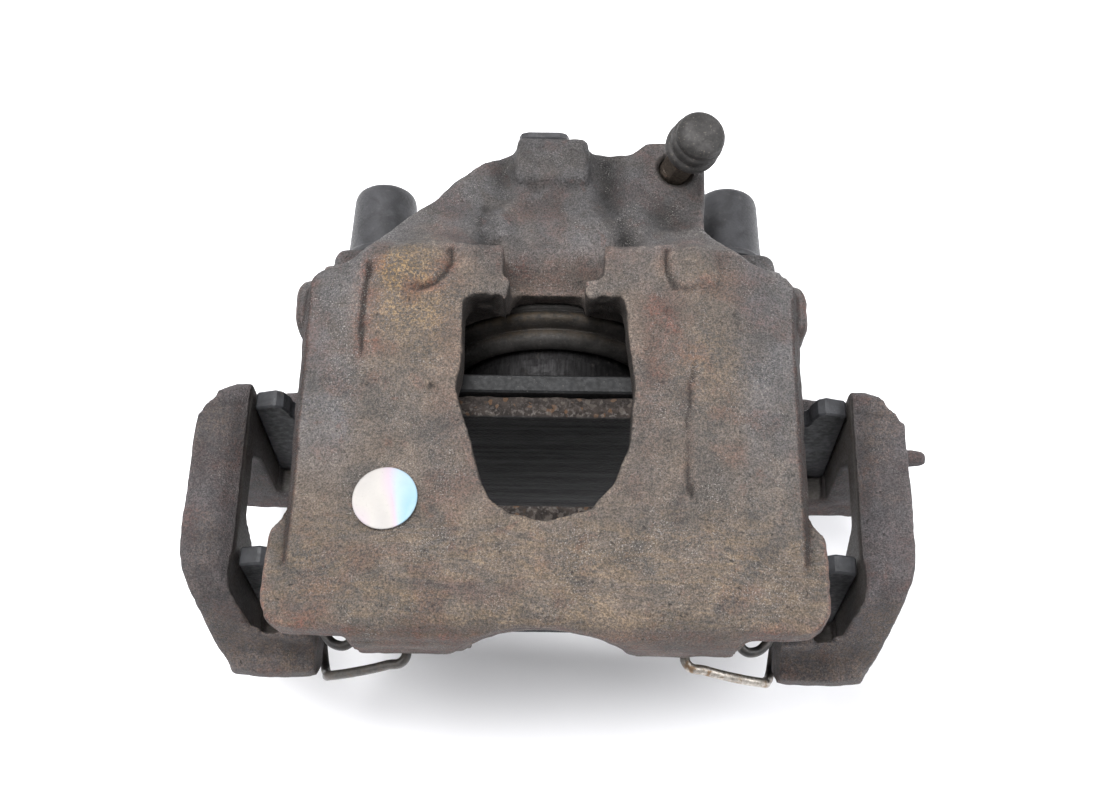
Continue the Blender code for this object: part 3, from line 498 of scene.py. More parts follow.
def foil(name):
    m = Nodes(name)
    # painted sheen: colour bands swept across the foil stand in for its iridescent shine
    sweep = m.tree.nodes.new("ShaderNodeTexNoise")
    m.link(m.place((70, 28, 40), (0.0, 0.0, 0.55)), sweep.inputs["Vector"])
    sweep.inputs["Scale"].default_value = 1.0
    sweep.inputs["Detail"].default_value = 1.0
    band = m.tree.nodes.new("ShaderNodeValToRGB")
    m.link(sweep.outputs["Fac"], band.inputs["Fac"])
    stops = [(0.30, (0.62, 0.60, 0.58)), (0.42, (0.78, 0.74, 0.68)), (0.50, (0.80, 0.66, 0.74)),
             (0.57, (0.62, 0.78, 0.90)), (0.68, (0.42, 0.70, 0.84)), (0.80, (0.74, 0.84, 0.86))]
    elements = band.color_ramp.elements
    elements[0].position, elements[0].color = stops[0][0], (*stops[0][1], 1)
    elements[1].position, elements[1].color = stops[-1][0], (*stops[-1][1], 1)
    for at, c in stops[1:-1]:
        e = elements.new(at)
        e.color = (*c, 1)
    scuffs = m.ramp(m.noise(0.6, 4, 0.7), 0.55, 0.75, 0.0, 0.35)
    color = m.mix(scuffs, band.outputs["Color"], (0.50, 0.48, 0.46))
    normal = m.bump(m.noise(3.0, 3, 0.5), 0.05)
    color = m.mix(1.0, color, (0.36, 0.36, 0.37), "MULTIPLY")
    return m.done(color, m.ramp(m.noise(2.0, 3, 0.6), 0.3, 0.7, 0.5, 0.62), 0.1, normal)


def plastic(name, color, rough=0.5):
    m = Nodes(name)
    mid = m.noise(7.0, 4, 0.6, 0.6)
    fine = m.noise(0.6, 3, 0.6)
    out = m.mix(m.ramp(mid, 0.35, 0.65), tuple(0.75 * c for c in color), tuple(1.45 * c for c in color))
    out = m.mix(m.ramp(m.noise(1.6, 4, 0.7), 0.56, 0.72, 0.0, 0.30), out, (0.085, 0.082, 0.080))
    normal = m.bump(fine, 0.05, m.bump(mid, 0.12))
    return m.done(out, m.ramp(fine, 0.3, 0.7, rough - 0.08, rough + 0.14), 0.0, normal, Specular_IOR_Level=0.38)


BOOT = rubber("boot_rubber", (0.011, 0.0100, 0.0094), (0.046, 0.033, 0.020), 0.10)
RUBBER = rubber("black_rubber", (0.024, 0.023, 0.022), None, 0.2)
CAP = plastic("cap_plastic", (0.026, 0.026, 0.0285), 0.46)
CAP_RUBBER = rubber("cap_rubber", (0.026, 0.0245, 0.024), None, 0.4)
# painted shade: the steel piston is coloured near black, as it sits deep in the window's shade
PISTON = steel("piston_steel", (0.026, 0.0255, 0.026), (0.012, 0.0115, 0.012), 0.55, (1.0, 0.12, 1.0), (0.022, 0.018, 0.015), 0.6)
PLATED = steel("plated_steel", (0.30, 0.255, 0.195), (0.135, 0.112, 0.090), 0.42)
SCREW = steel("dusty_screw", (0.135, 0.112, 0.090), (0.058, 0.047, 0.040), 0.55, (1, 1, 1), (0.085, 0.048, 0.032), 0.7)
# painted shade: the zinc shims are coloured near black, as their edges sit in the window's shade
SHIM = steel("shim_zinc", (0.024, 0.0235, 0.024), (0.013, 0.0125, 0.013), 0.55, (0.2, 1, 1), (0.036, 0.028, 0.024), 0.6)
PLATE = painted("backplate_paint", (0.022, 0.0225, 0.025), (0.046, 0.036, 0.031))
FRICTION = friction("friction_block")
WIRE = wire("spring_wire")
FOIL = foil("plain_foil")


# ------------------------------------------------------------ the two castings
def machined_housing(p, nor):
    r = np.hypot(p[:, 0], p[:, 2])
    bore = (r < 34.0) & (p[:, 1] > 18.0) & (p[:, 1] < 62.5)
    guide = np.hypot(np.abs(p[:, 0]) - PIN_X, p[:, 2]) < 9.6
    pads = (nor[:, 1] > 0.85) & (np.abs(p[:, 1] + 49.8) < 0.9)
    port = (nor[:, 1] > 0.9) & (p[:, 1] > 69.9) & (p[:, 1] < 71.2) & (p[:, 2] > 18)
    end = (nor[:, 1] > 0.9) & (p[:, 1] > 50.4) & (p[:, 1] < 51.6) & (np.abs(p[:, 0]) > 38)
    along = (p - np.array(BLEED_AT)) @ np.array(BLEED_DIR)
    off = np.linalg.norm(p - np.array(BLEED_AT) - along[:, None] * np.array(BLEED_DIR), axis=1)
    seat = (off < 5.2) & (along > -16) & (along < 6)
    return (bore | guide | pads | port | end | seat).astype(float)


def firm_housing(p, nor):
    ax = np.abs(p[:, 0])
    edge = step(58.5, 60.5, ax) * step(66, 63.5, ax) * step(-60, -54, p[:, 1]) * (p[:, 2] > 34)
    return np.maximum(machined_housing(p, nor), 0.75 * edge)


def housing():
    mesh = remeshed("caliper_housing", 0.9)
    p, edges = relax(mesh, 4, firm_housing, 0.95, 0.35)
    nor = normals(mesh)
    cut = machined_housing(p, nor)
    for _ in range(2):
        cut = np.minimum(1.0, 0.5 * cut + 0.5 * around(cut, edges, len(p)))
    raw = 1 - cut
    x, y, z = p.T
    ax = np.abs(x)
    top = step(0.35, 0.8, nor[:, 2]) * step(33, 38, z) * raw
    warp = np.stack([x + 1.4 * noise(p, 7, 3), y + 1.4 * noise(p, 7, 4), z], axis=1)
    wx, wy = warp[:, 0], warp[:, 1]

    dz = np.zeros(len(p))
    # left: a crease splits the flat outer strip from the dished middle
    sx, sy = x + 0.45 * noise(p, 6, 3), y + 0.45 * noise(p, 6, 4)
    crease_l = to_line(sx, sy, [(-47.4, 25.5), (-47.0, 21.0), (-47.5, 13.8), (-47.5, 8.0), (-47.2, 2.4), (-47.4, -3.5)])
    fade_l = step(-5, 3, y) * step(27, 24, y)
    dz -= (1.15 + 0.3 * noise(p, 5, 8)) * np.exp(-(crease_l / 0.8) ** 2) * fade_l
    dz += 0.35 * step(-45.5, -48.5, x) * step(-53, -48, x) * fade_l
    dz -= 1.5 * np.exp(-((x + 36) / 9.5) ** 2 - ((y - 8) / 8.5) ** 2)
    # left boss: an oval dome with a crescent on its right
    dome = np.sqrt(((x + 35.5) / 10.0) ** 2 + ((y - 23.2) / 6.6) ** 2)
    dz += 1.0 * step(1.15, 0.35, dome)
    crescent = to_line(sx, sy, [(-26.0, 28.6), (-25.6, 25.2), (-26.8, 21.4), (-29.2, 18.4), (-32.6, 16.9), (-36.0, 16.6)])
    dz -= 1.15 * np.exp(-(crescent / 0.85) ** 2) * step(-37.5, -32, x)
    # right boss: a raised round pad with a crescent on its left
    pad = (np.abs((x - 36.2) * 0.97 + (y - 23.6) * 0.24) ** 4 + np.abs((y - 23.6) * 0.97 - (x - 36.2) * 0.24) ** 4) ** 0.25
    dz += 0.75 * step(7.0, 5.4, pad)
    side = to_line(sx, sy, [(29.2, 29.0), (29.0, 26.0), (29.5, 21.8), (31.2, 18.0), (35.0, 17.6), (39.0, 19.0)])
    dz -= 0.85 * np.exp(-(side / 0.85) ** 2) * step(40, 36, x)
    # raised lip beside the window's corners, dished ribs down to the recess
    lip = to_line(wx, wy, [(25.5, 14.5), (28.6, 8.0), (29.2, 1.0), (26.8, -5.0)])
    dz += 0.6 * np.exp(-(lip / 1.4) ** 2)
    dz -= 0.6 * np.exp(-((np.hypot((x - 24.6) / 1.0, (y - 4) / 2.4)) / 2.3) ** 2)
    # right: long shallow crease down the middle of the rail
    crease_r = to_line(sx, sy, [(36.0, -2.0), (35.3, -6.0), (34.6, -9.3), (34.5, -13.4), (34.0, -18.8), (34.4, -23.3), (33.5, -31.9), (34.4, -38.0)])
    dz -= (0.45 + 0.25 * noise(p, 6, 9)) * np.exp(-(crease_r / 0.62) ** 2)
    for a, b in (((34.2, -37.0), (38.5, -46.5)), ((34.4, -36.5), (34.0, -46.0)), ((34.0, -35.0), (30.2, -44.0)), ((34.2, -36.0), (36.3, -46.8))):
        dz -= 0.28 * np.exp(-(to_line(sx, sy, [a, b]) / 0.5) ** 2)
    dz += 0.22 * np.exp(-((crease_r - 2.6) / 1.6) ** 2) * (wx > 34)
    small = to_line(sx, sy, [(46.5, 12.0), (47.5, 8.0), (46.4, 5.0)])
    dz -= 0.35 * np.exp(-(small / 0.7) ** 2)
    # left rail: faint long hollow, and a pit near the window
    dz -= 0.5 * np.exp(-((x + 44) / 5.0) ** 2 - ((y + 32) / 16) ** 2)
    dz -= 1.0 * np.exp(-(np.hypot(sx + 29.3, sy + 10.1) / 1.1) ** 2) + 0.6 * np.exp(-(np.hypot(sx + 27.6, sy + 11.6) / 0.8) ** 2)
    # shallow sag in front of the window, fuller front edge
    dz -= 0.9 * np.exp(-((x + 2) / 26) ** 2 - ((y + 55) / 6.5) ** 2)
    dz += 0.7 * np.exp(-(ax / 50) ** 4 - ((y + 67.5) / 3.6) ** 2)
    rear = step(0.2, 0.6, nor[:, 2]) * step(22, 27, z) * raw * step(28, 31, y)
    dz *= top
    dr = -2.8 * np.exp(-((x + 17.5) / 4.0) ** 2 - ((y - 34.5) / 4.6) ** 2)
    dr -= 3.0 * np.exp(-((x - 19.0) / 3.8) ** 2 - ((y - 35.6) / 5.0) ** 2)
    dr -= 1.6 * np.exp(-(to_line(sx, sy, [(-17.0, 36.0), (-19.5, 42.0), (-18.5, 49.0)]) / 2.6) ** 2)
    dr -= 2.2 * np.exp(-(to_line(sx, sy, [(19.5, 37.0), (17.5, 46.0), (14.2, 55.0), (14.0, 64.0)]) / 3.0) ** 2)
    dr -= 2.6 * np.exp(-((x - 31) / 7.0) ** 2 - ((y - 45) / 5.5) ** 2)
    dr -= 1.4 * np.exp(-((x + 14.5) / 3.0) ** 2 - ((y - 60) / 7) ** 2)
    dr += 1.0 * np.exp(-(to_line(sx, sy, [(-9.0, 54.0), (-13.5, 45.0), (-12.5, 36.0)]) / 2.2) ** 2)
    dr += 0.8 * np.exp(-(to_line(sx, sy, [(9.0, 54.0), (11.5, 44.0), (13.0, 36.0)]) / 2.2) ** 2)
    dz += dr * rear
    p[:, 2] += dz

    flow = noise(np.stack([x + 5 * noise(p, 12, 11), y, z], axis=1), (17, 2.4, 2.4), 21)
    low = step(-42, -54, y)
    d = 0.26 * noise(p, 15, 1) + 0.15 * noise(p, 6.3, 2) + 0.12 * noise(p, 3.1, 5) + 0.13 * noise(p, 1.8, 6)
    d += 0.20 * flow * low + 0.10 * noise(p, (9, 1.8, 1.8), 23) * low
    # chipped, ragged rim at the window's inboard edge
    rim = np.exp(-(to_line(x, y, [(-20.4, 15.6), (-13.6, 15.6), (-11.5, 13.9), (8.8, 14.5), (17.2, 15.6)]) / 2.2) ** 2)
    d += 0.55 * rim * step(36, 40, z) * noise(p, 2.2, 31)
    d *= raw
    p = p + nor * d[:, None]
    write(mesh, p)
    nor = normals(mesh)
    bend = bend_of(mesh, p, edges)

    x, y, z = p.T
    blot = fractal(p, 11, 3, 41)
    gold = 0.65 * np.exp(-((x + 34) / 12) ** 2 - ((y - 12) / 14) ** 2)
    gold += 0.7 * step(1.15, 0.6, dome)
    gold += 0.30 * np.exp(-((x - 40) / 8) ** 2 - ((y + 2) / 12) ** 2)
    gold += 0.35 * np.exp(-((x - 38) / 7) ** 2 - ((y - 20) / 6) ** 2)
    gold += (0.08 + 0.16 * flow) * step(-38, -56, y)
    gold = gold * (0.75 + 0.5 * blot) * step(0.0, 0.6, nor[:, 2]) * step(30, 40, z)
    gold += 0.05 * (1 + blot) * step(20, -20, y)
    rust = 0.95 * np.exp(-(crease_l / 2.6) ** 2) * fade_l + 0.6 * np.exp(-(crease_l / 5) ** 2) * fade_l * (x > -49)
    rust += 0.8 * np.exp(-(crescent / 1.9) ** 2) + 0.55 * np.exp(-(side / 2.0) ** 2)
    rust += 0.7 * np.exp(-(lip / 3.0) ** 2) + 0.45 * np.exp(-(crease_r / 1.6) ** 2)
    rust += 0.9 * np.exp(-((x) / 17) ** 2 - ((y - 27) / 6.5) ** 2)
    rust += 0.5 * np.exp(-((ax - 24) / 5) ** 2 - ((y + 8) / 22) ** 2)
    rust *= step(30, 38, z) * (0.8 + 0.5 * noise(p, 4, 51))
    rust += 0.45 * step(0.2, 0.7, fractal(p, 9, 3, 61)) + 0.45 * step(36, 28, z) * step(-48, -62, y) * (0.6 + 0.4 * blot)
    rust += 1.0 * step(-65.5, -70, y) * step(48.5, 44, z) * step(15, 25, z) * (0.75 + 0.5 * noise(p, 6, 53))
    rust += 0.9 * step(0.35, 0.7, np.abs(nor[:, 0])) * step(60, 61.5, ax) * step(34, 38, z) * (y < 24)
    # side walls of the rails, darkened below as painted shade
    wall = step(0.40, 0.75, np.abs(nor[:, 0])) * step(59.5, 61, ax) * step(30, 34, z) * (y < 26) * step(66.2, 64.8, ax)
    cool = step(24, 40, y) * 0.9 + 0.8 * step(44, 52, ax) * step(-40, -20, y) + 0.25 * step(-0.2, 0.6, blot)
    # painted shade, with brake dust: window walls and faces behind the window that don't face up are blackened
    soot_and_shade = step(0.75, 0.35, nor[:, 2]) * step(27, 24, ax) * step(-50, -46, y) * step(20, 16.5, y) * step(20, 28, z)
    soot_and_shade = np.maximum(soot_and_shade, 0.8 * step(0.7, 0.2, nor[:, 2]) * step(20, 14, ax) * step(12, 14, y) * step(30, 22, y) * (z > 30))
    attribute(mesh, "soot_and_shade", soot_and_shade * raw)
    # where the painted glints gather in drifts
    glint = 0.22 * np.exp(-((x + 53) / 6) ** 2 - ((y - 6) / 16) ** 2) + 0.24 * np.exp(-((x - 24) / 26) ** 2 - ((y + 53) / 5) ** 2) * (0.7 + 0.6 * noise(p, 7, 57))
    glint += 0.18 * np.exp(-((x + 24) / 5) ** 2 - ((y + 38) / 9) ** 2) + 0.2 * np.exp(-((x - 54) / 8) ** 2 - ((y + 62) / 6) ** 2)
    attribute(mesh, "glint", glint)
    attribute(mesh, "wiped", step(-34, -52, y) * step(0.1, 0.5, nor[:, 2]) * step(25, 38, z))
    attribute(mesh, "gold", gold * raw)
    attribute(mesh, "rust", rust)
    attribute(mesh, "cool", cool)
    # painted shade: darker rear cylinder, hollows, creases, side walls and lower front, lighter front corners
    shade = 0.42 * step(33, 52, y) + 0.75 * np.exp(-((x + 17.5) / 4.2) ** 2 - ((y - 34.5) / 6) ** 2)
    shade += 0.75 * np.exp(-((x - 19.5) / 4.2) ** 2 - ((y - 36.0) / 7) ** 2) + 0.35 * step(-64, -70, y) * step(46, 36, z)
    shade += 0.95 * wall
    shade += 0.45 * np.exp(-((x - 31) / 6.5) ** 2 - ((y - 46) / 6) ** 2) + 0.45 * np.exp(-((x - 15.0) / 3.2) ** 2 - ((y - 56) / 10) ** 2)
    shade += 0.30 * np.exp(-((x + 15.0) / 3.0) ** 2 - ((y - 60) / 7) ** 2) + 0.4 * step(20, 24, y) * step(31, 28, y) * step(14, 11, ax)
    shade += 0.8 * np.exp(-(crease_l / 0.7) ** 2) * fade_l + 0.5 * np.exp(-(crescent / 0.7) ** 2) + 0.5 * np.exp(-(side / 0.7) ** 2)
    shade += 0.30 * np.exp(-(x / 20) ** 2 - ((y + 36) / 9) ** 2) - 0.4 * np.exp(-((ax - 44) / 16) ** 2 - ((y + 52) / 10) ** 2)
    attribute(mesh, "shade", np.clip(shade, 0, 1))
    scale = 0.10
    attribute(mesh, "crest", np.clip(bend / scale, 0, 1))
    # hollow feeds the painted shade in concave places
    attribute(mesh, "hollow", np.clip(-bend / scale - 0.1, 0, 1))
    attribute(mesh, "machined", cut)
    add("housing_casting", mesh, HOUSING, "housing", "cast_housing", "caliper_housing")


def machined_carrier(p, nor):
    ax = np.abs(p[:, 0])
    face = (nor[:, 1] > 0.9) & (p[:, 1] > 15.2)
    bolt = np.hypot(ax - 71.0, p[:, 2] + 48.0) < 7.2
    pin = np.hypot(ax - PIN_X, p[:, 2]) < 6.2
    seat = (ax > 77.6) & (ax < 79.2) & (p[:, 2] < 26) & (np.abs(nor[:, 0]) > 0.85)
    ledge = (ax < 78.4) & (ax > 65.8) & (np.abs(p[:, 2] + 20.6) < 0.9) & (nor[:, 2] > 0.85)
    return (face | bolt | pin | seat | ledge).astype(float)


def carrier():
    mesh = remeshed("carrier_bracket", 0.95)
    p, edges = relax(mesh, 3, machined_carrier, 0.9, 0.35)
    nor = normals(mesh)
    cut = machined_carrier(p, nor)
    for _ in range(2):
        cut = np.minimum(1.0, 0.5 * cut + 0.5 * around(cut, edges, len(p)))
    raw = 1 - cut
    x, y, z = p.T
    ax = np.abs(x)
    arm = step(76, 79, ax) * step(-6, 4, z)
    d = 0.20 * noise(p, 13, 71) + 0.13 * noise(p, 5.5, 72) + 0.10 * noise(p, 2.6, 73) + 0.09 * noise(p, 1.7, 74)
    # lengthwise fold on each arm's top and a cross fold by its inboard head
    long = np.abs(ax - (84.6 + 0.02 * y) + 0.5 * noise(p, 9, 75))
    d -= 0.35 * np.exp(-(long / 1.0) ** 2) * arm * step(0.3, 0.8, nor[:, 2])
    cross = np.abs(y + 6.6 + 0.25 * (ax - 84) + 0.5 * noise(p, 6, 76))
    d -= 0.45 * np.exp(-(cross / 0.9) ** 2) * arm * step(10, 20, z)
    # rough, torn skin under the pads' ears
    d += 0.35 * noise(p, (3.5, 1.6, 3.0), 77) * step(-18, -24, z) * (y < 4)
    # keep the runs beside the pads true
    quiet = 1 - 0.8 * ((ax > 77.4) & (ax < 80) & (z < 26)) - 0.6 * (np.abs(z + 20.6) < 1.2) * (ax < 80)
    p = p + nor * (d * raw * np.clip(quiet, 0, 1))[:, None]
    write(mesh, p)
    nor = normals(mesh)
    bend = bend_of(mesh, p, edges)
    blot = fractal(p, 10, 3, 81)
    rust = 0.30 + 0.5 * step(0.0, 0.8, blot) + 0.4 * step(-18, -26, z) * (y < 6)
    gold = 0.5 * np.exp(-((y + 66) / 8) ** 2) * step(-12, 0, z) + 0.35 * step(0.2, 0.9, fractal(p, 14, 2, 83))
    cool = 0.5 + 0.5 * noise(p, 20, 82)
    attribute(mesh, "gold", gold * raw)
    attribute(mesh, "rust", rust)
    attribute(mesh, "cool", cool)
    scale = 0.10
    attribute(mesh, "crest", np.clip(bend / scale, 0, 1))
    # hollow feeds the painted shade in concave places
    attribute(mesh, "hollow", np.clip(-bend / scale - 0.1, 0, 1))
    attribute(mesh, "machined", cut)
    add("carrier_casting", mesh, CARRIER, "carrier", "cast_carrier", "carrier_bracket")


# ------------------------------------------------------------------------ pads
def pads():
    for name, body, face_y, way in (("inner_pad", "inner_pad", -11.5, -1), ("outer_pad", "outer_pad", -35.0, 1)):
        mesh = remeshed(name + "_friction", 0.8)
        p, edges = relax(mesh, 3)
        nor = normals(mesh)
        face = step(0.5, 0.9, way * nor[:, 1]) * (np.abs(p[:, 1] - face_y) < 1.4)
        d = 0.10 * noise(p, 5, 91) + (1 - face) * (0.22 * noise(p, 2.6, 92) + 0.16 * noise(p, 1.4, 93))
        d += face * 0.14 * noise(p, (60, 1.6, 1.6), 94)
        p = p + nor * (d - 0.15)[:, None]
        write(mesh, p)
        lip = np.exp(-((p[:, 1] - face_y) / 2.2) ** 2) * (1 - face)
        attribute(mesh, "face", face)
        attribute(mesh, "dust", 0.25 + 0.75 * lip)
        add(name + "_lining", mesh, FRICTION, body, "friction_block", name + "_friction")
        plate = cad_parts[name + "_backplate"]
        plate.data.materials.clear()
        plate.data.materials.append(PLATE)
        mod = plate.modifiers.new("edges", "BEVEL")
        mod.width, mod.segments, mod.limit_method, mod.angle_limit = 0.35 * MM, 2, "ANGLE", math.radians(30)
        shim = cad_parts[name + "_shim"]
        shim.data.materials.clear()
        shim.data.materials.append(SHIM)
    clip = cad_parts["inner_pad_clip"]
    clip.data.materials.clear()
    clip.data.materials.append(PLATED)


# ---------------------------------------------------- piston, boot and small parts
def piston_and_boot():
    profile = [(0, 36.0), (17.6, 36.0), (18.6, 34.8), (18.6, 0.9), (19.2, 0.0), (25.8, 0.0), (27.0, 1.2), (27.0, 7.2),
               (25.7, 7.8), (25.7, 10.6), (27.0, 11.2), (27.0, 45.1), (25.4, 46.7), (0, 46.7)]
    mesh = turned("piston", profile, (0, 1.3, 0), (0, 1, 0), 128, closed=False)
    add("piston_turned", mesh, PISTON, "piston", "piston_steel", "piston")

    outer = [(33.0, 22.8), (33.0, 20.8), (32.2, 20.2), (33.6, 18.9), (33.6, 17.4), (32.0, 16.2), (30.0, 15.8),
             (30.9, 14.8), (30.9, 12.8), (29.4, 11.2), (27.5, 10.8)]
    inner = [(27.4, 12.2), (28.7, 12.6), (29.4, 13.4), (28.4, 14.6), (28.0, 16.0), (28.9, 17.4), (31.0, 17.8),
             (31.6, 18.4), (30.6, 19.6), (30.0, 21.0), (30.0, 22.8)]
    mesh = turned("boot", rounded(outer + inner, 3), (0, 0, 0), (0, 1, 0), 144)
    p, edges = read(mesh)
    r = np.hypot(p[:, 0], p[:, 2])
    p[:, [0, 2]] *= (1 + (0.12 * noise(p, 9, 101) + 0.06 * noise(p, 4, 102)) / r * step(22, 18, p[:, 1]))[:, None]
    write(mesh, p)
    # painted highlight: golden-brown on the boot's two outer folds, strongest toward the upper left
    ridge_highlight = np.exp(-((p[:, 1] - 14.2) / 1.5) ** 2) * step(29.0, 30.6, r) + 0.9 * np.exp(-((p[:, 1] - 18.3) / 1.6) ** 2) * step(32.0, 33.4, r)
    ridge_highlight *= np.exp(-((p[:, 0] + 6) / 15) ** 2) * step(12.5, 16.0, p[:, 1]) + 0.25
    attribute(mesh, "ridge_highlight", ridge_highlight * (0.75 + 0.5 * noise(p, 8, 103)))
    boot = add("boot_bellows", mesh, BOOT, None, "rubber", "dust_boot")
    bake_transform(boot)

    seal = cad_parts["piston_seal"]
    seal.data.materials.clear()
    seal.data.materials.append(RUBBER)


def guides():
    for side_name, s in (("left", -1), ("right", 1)):
        at = (s * PIN_X, 0, 0)
        bush = [(5.05, 22.5), (6.9, 22.5), (7.6, 23.3), (6.9, 24.2), (7.8, 25.2), (7.2, 26.2), (10.0, 26.6),
                (10.0, 28.6), (8.1, 28.9), (8.1, 53.4), (5.05, 53.4)]
        mesh = turned("bushing", rounded(bush, 2), at, (0, 1, 0), 80)
        add("bushing_" + side_name, mesh, RUBBER, "housing", "rubber", "guide_bushing_" + side_name)
        cap = [(8.45, 51.4), (10.4, 51.4), (10.4, 53.0), (9.9, 53.6), (9.55, 60.0), (9.1, 72.0), (8.6, 73.8),
               (7.3, 74.8), (0, 75.0), (0, 72.8), (6.6, 72.8), (7.4, 71.8), (8.3, 58.0)]
        soft = rounded(cap[:8], 2, closed=False) + [(0.001, 75.0), (0.001, 72.8)] + cap[10:]
        mesh = turned("cap", soft, at, (0, 1, 0), 96)
        add("cap_" + side_name, mesh, CAP, "housing", "black_plastic", "guide_cap_" + side_name)
        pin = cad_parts["guide_pin_" + side_name]
        pin.data.materials.clear()
        pin.data.materials.append(PLATED)


def fittings():
    cap = [(3.5, 8.8), (4.6, 8.8), (4.5, 10.4), (4.4, 12.0), (6.6, 12.5), (7.2, 13.4), (7.3, 15.6), (6.5, 16.4),
           (6.5, 17.0), (7.0, 17.6), (7.0, 19.6), (6.3, 20.4), (6.4, 21.0), (6.6, 22.0), (5.6, 23.8), (3.4, 24.8),
           (0.001, 25.2)]
    inside = [(0.001, 21.6), (3.2, 21.6), (4.2, 20.4), (4.2, 14.2), (3.5, 13.4)]
    mesh = turned("bleeder_cap", rounded(cap, 2, closed=False) + inside, BLEED_AT, BLEED_DIR, 96)
    add("bleeder_dome", mesh, CAP_RUBBER, "bleeder_cap", "rubber", "bleeder_cap")
    for node, material in (("bleeder_screw", SCREW), ("hose_port_plug", CAP)):
        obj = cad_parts[node]
        obj.data.materials.clear()
        obj.data.materials.append(material)
        mod = obj.modifiers.new("edges", "BEVEL")
        mod.width, mod.segments, mod.limit_method, mod.angle_limit = 0.25 * MM, 2, "ANGLE", math.radians(40)


def clips():
    path = [(35.0, -60.0, 14.5), (35.0, -66.0, 14.5), (35.4, -69.9, 14.3), (40.0, -70.6, 11.5), (50.0, -71.0, 5.0),
            (56.0, -70.5, 0.2), (57.7, -67.8, -9.0), (59.6, -64.5, -14.8), (61.0, -57.4, -15.4), (61.3, -52.8, -9.0),
            (60.6, -52.0, 2.0), (58.6, -53.6, 9.6), (57.2, -59.4, 13.4), (55.6, -64.0, 14.0), (52.0, -66.6, 14.4),
            (49.2, -66.0, 15.4), (48.2, -63.0, 17.4)]
    for side_name, s in (("left", -1), ("right", 1)):
        curve = bpy.data.curves.new("clip_curve", "CURVE")
        curve.dimensions = "3D"
        curve.bevel_depth = 1.25 * MM
        curve.bevel_resolution = 5
        curve.use_fill_caps = True
        curve.resolution_u = 12
        spline = curve.splines.new("BEZIER")
        spline.bezier_points.add(len(path) - 1)
        for point, (x, y, z) in zip(spline.bezier_points, path):
            point.co = (Vector((s * x, y, z)) - Vector(ORIGIN)) * MM
            point.handle_left_type = point.handle_right_type = "AUTO"
        tmp = bpy.data.objects.new("tmp", curve)
        bpy.context.scene.collection.objects.link(tmp)
        bpy.context.view_layer.update()
        graph = bpy.context.evaluated_depsgraph_get()
        mesh = bpy.data.meshes.new_from_object(tmp.evaluated_get(graph))
        bpy.data.objects.remove(tmp, do_unlink=True)
        bm = bmesh.new()
        bm.from_mesh(mesh)
        bmesh.ops.remove_doubles(bm, verts=bm.verts, dist=1e-6)
        bmesh.ops.recalc_face_normals(bm, faces=bm.faces)
        bm.to_mesh(mesh)
        bm.free()
        mesh.shade_smooth()
        mesh.set_sharp_from_angle(angle=math.radians(50))
        p, edges = read(mesh)
        off = np.abs(p[:, 0])
        bare = step(-64, -67, p[:, 1]) * step(33, 36, off) * (1 - step(46, 49, off) * step(6.5, 9.5, p[:, 2]))
        bare *= 1.0 if s > 0 else 0.12
        attribute(mesh, "bare", bare)
        add("wire_clip_" + side_name, mesh, WIRE, "housing", "spring_wire", "retaining_clip_" + side_name)


def foil_dot():
    axis = Vector((-0.1, 0, 0.995)).normalized()
    at = Vector((-38.5, -40.5, 49.45))
    profile = [(0.001, 0.20), (7.7, 0.20), (7.9, 0.28), (7.9, 0.50), (7.8, 0.60), (7.4, 0.62), (5.0, 0.63), (2.5, 0.63), (0.001, 0.63)]
    mesh = turned("foil", profile, at, axis, 128)
    p, edges = read(mesh)
    p[:, 2] += 0.10 * noise(p, 4.5, 111) + 0.05
    write(mesh, p)
    add("foil_disc", mesh, FOIL, "housing", "foil", "foil_dot")


housing()
carrier()
pads()
piston_and_boot()
guides()
fittings()
clips()
foil_dot()


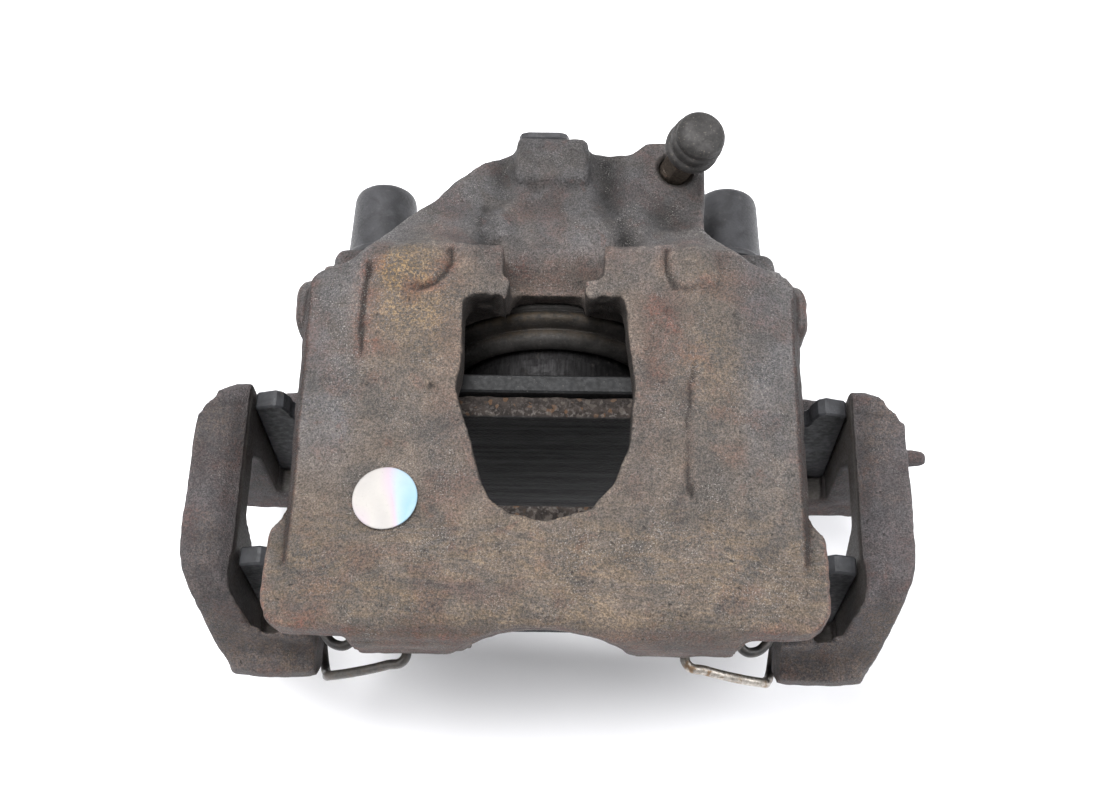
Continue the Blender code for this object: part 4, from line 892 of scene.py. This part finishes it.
# ---------------------------------------------------------------- studio
def floor():
    low = min(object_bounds()[0][2], cad_box[0][2]) - 0.0002
    bm = bmesh.new()
    bmesh.ops.create_grid(bm, x_segments=2, y_segments=2, size=3.0)
    bmesh.ops.translate(bm, verts=bm.verts, vec=(0, 0, low))
    mesh = bpy.data.meshes.new("floor")
    bm.to_mesh(mesh)
    bm.free()
    obj = bpy.data.objects.new("floor", mesh)
    bpy.context.scene.collection.objects.link(obj)
    m = Nodes("floor_paper")
    tone = m.mix(m.ramp(m.noise(400, 2, 0.5), 0.3, 0.7), (0.86, 0.86, 0.88), (0.90, 0.90, 0.92))
    m.done(tone, 0.9, 0.0, Specular_IOR_Level=0.1)
    # the sweep stays white far from the lamps
    far = m.tree.nodes.new("ShaderNodeVectorMath")
    far.operation = "LENGTH"
    m.link(m.coord, far.inputs[0])
    path = m.tree.nodes.new("ShaderNodeLightPath")
    glow = m.math("MULTIPLY", path.outputs["Is Camera Ray"], m.ramp(far.outputs["Value"], 0.35, 1.1, 0.0, 0.6))
    m.put(m.bsdf.inputs["Emission Color"], (1.0, 1.0, 1.0))
    m.put(m.bsdf.inputs["Emission Strength"], glow)
    mesh.materials.append(m.mat)
    obj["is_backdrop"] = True


def lamp(name, at, aim, size, power, color=(1, 1, 1)):
    data = bpy.data.lights.new(name, "AREA")
    data.shape = "RECTANGLE"
    data.size, data.size_y = size
    data.energy = power
    data.color = color
    obj = bpy.data.objects.new(name, data)
    bpy.context.scene.collection.objects.link(obj)
    obj.location = at
    obj.rotation_euler = (Vector(aim) - Vector(at)).to_track_quat("-Z", "Y").to_euler()


floor()
lamp("top", (-0.16, 0.05, 1.00), (0, 0, 0), (0.55, 0.42), 15.5)
lamp("left", (-0.62, -0.10, 0.62), (0, 0, 0.03), (0.55, 0.55), 4.0, (1.0, 0.995, 0.985))
lamp("right", (0.66, -0.10, 0.60), (0, 0, 0.03), (0.45, 0.45), 6.5, (0.985, 0.99, 1.0))

# soft white surroundings, bright near the floor and dimmer overhead
world = bpy.data.worlds.new("studio")
bpy.context.scene.world = world
world.use_nodes = True
tree = world.node_tree
split = tree.nodes.new("ShaderNodeSeparateXYZ")
tree.links.new(tree.nodes.new("ShaderNodeTexCoord").outputs["Generated"], split.inputs[0])
fall = tree.nodes.new("ShaderNodeMapRange")
fall.interpolation_type = "SMOOTHSTEP"
tree.links.new(split.outputs["Z"], fall.inputs["Value"])
for key, value in (("From Min", 0.15), ("From Max", 0.95), ("To Min", 0.95), ("To Max", 0.32)):
    fall.inputs[key].default_value = value
tree.links.new(fall.outputs["Result"], tree.nodes["Background"].inputs["Strength"])
tree.nodes["Background"].inputs["Color"].default_value = (0.985, 0.99, 1.0, 1.0)
bpy.context.scene.view_settings.view_transform = "Standard"

camera = bpy.data.cameras.new("camera")
camera.sensor_width = 36.0
camera.lens = 51.87
camera.clip_start, camera.clip_end = 0.01, 20.0
eye = bpy.data.objects.new("camera", camera)
bpy.context.scene.collection.objects.link(eye)
right = Vector((0.99979063, 0.01908656, -0.00737571))
up = Vector((-0.01418309, 0.90622682, 0.42255389))
back = Vector((0.01474916, -0.42236081, 0.90630779))
eye.matrix_world = Matrix((
    (right.x, up.x, back.x, 0.00607452),
    (right.y, up.y, back.y, -0.1940478),
    (right.z, up.z, back.z, 0.44967119),
    (0, 0, 0, 1),
))
bpy.context.scene.camera = eye
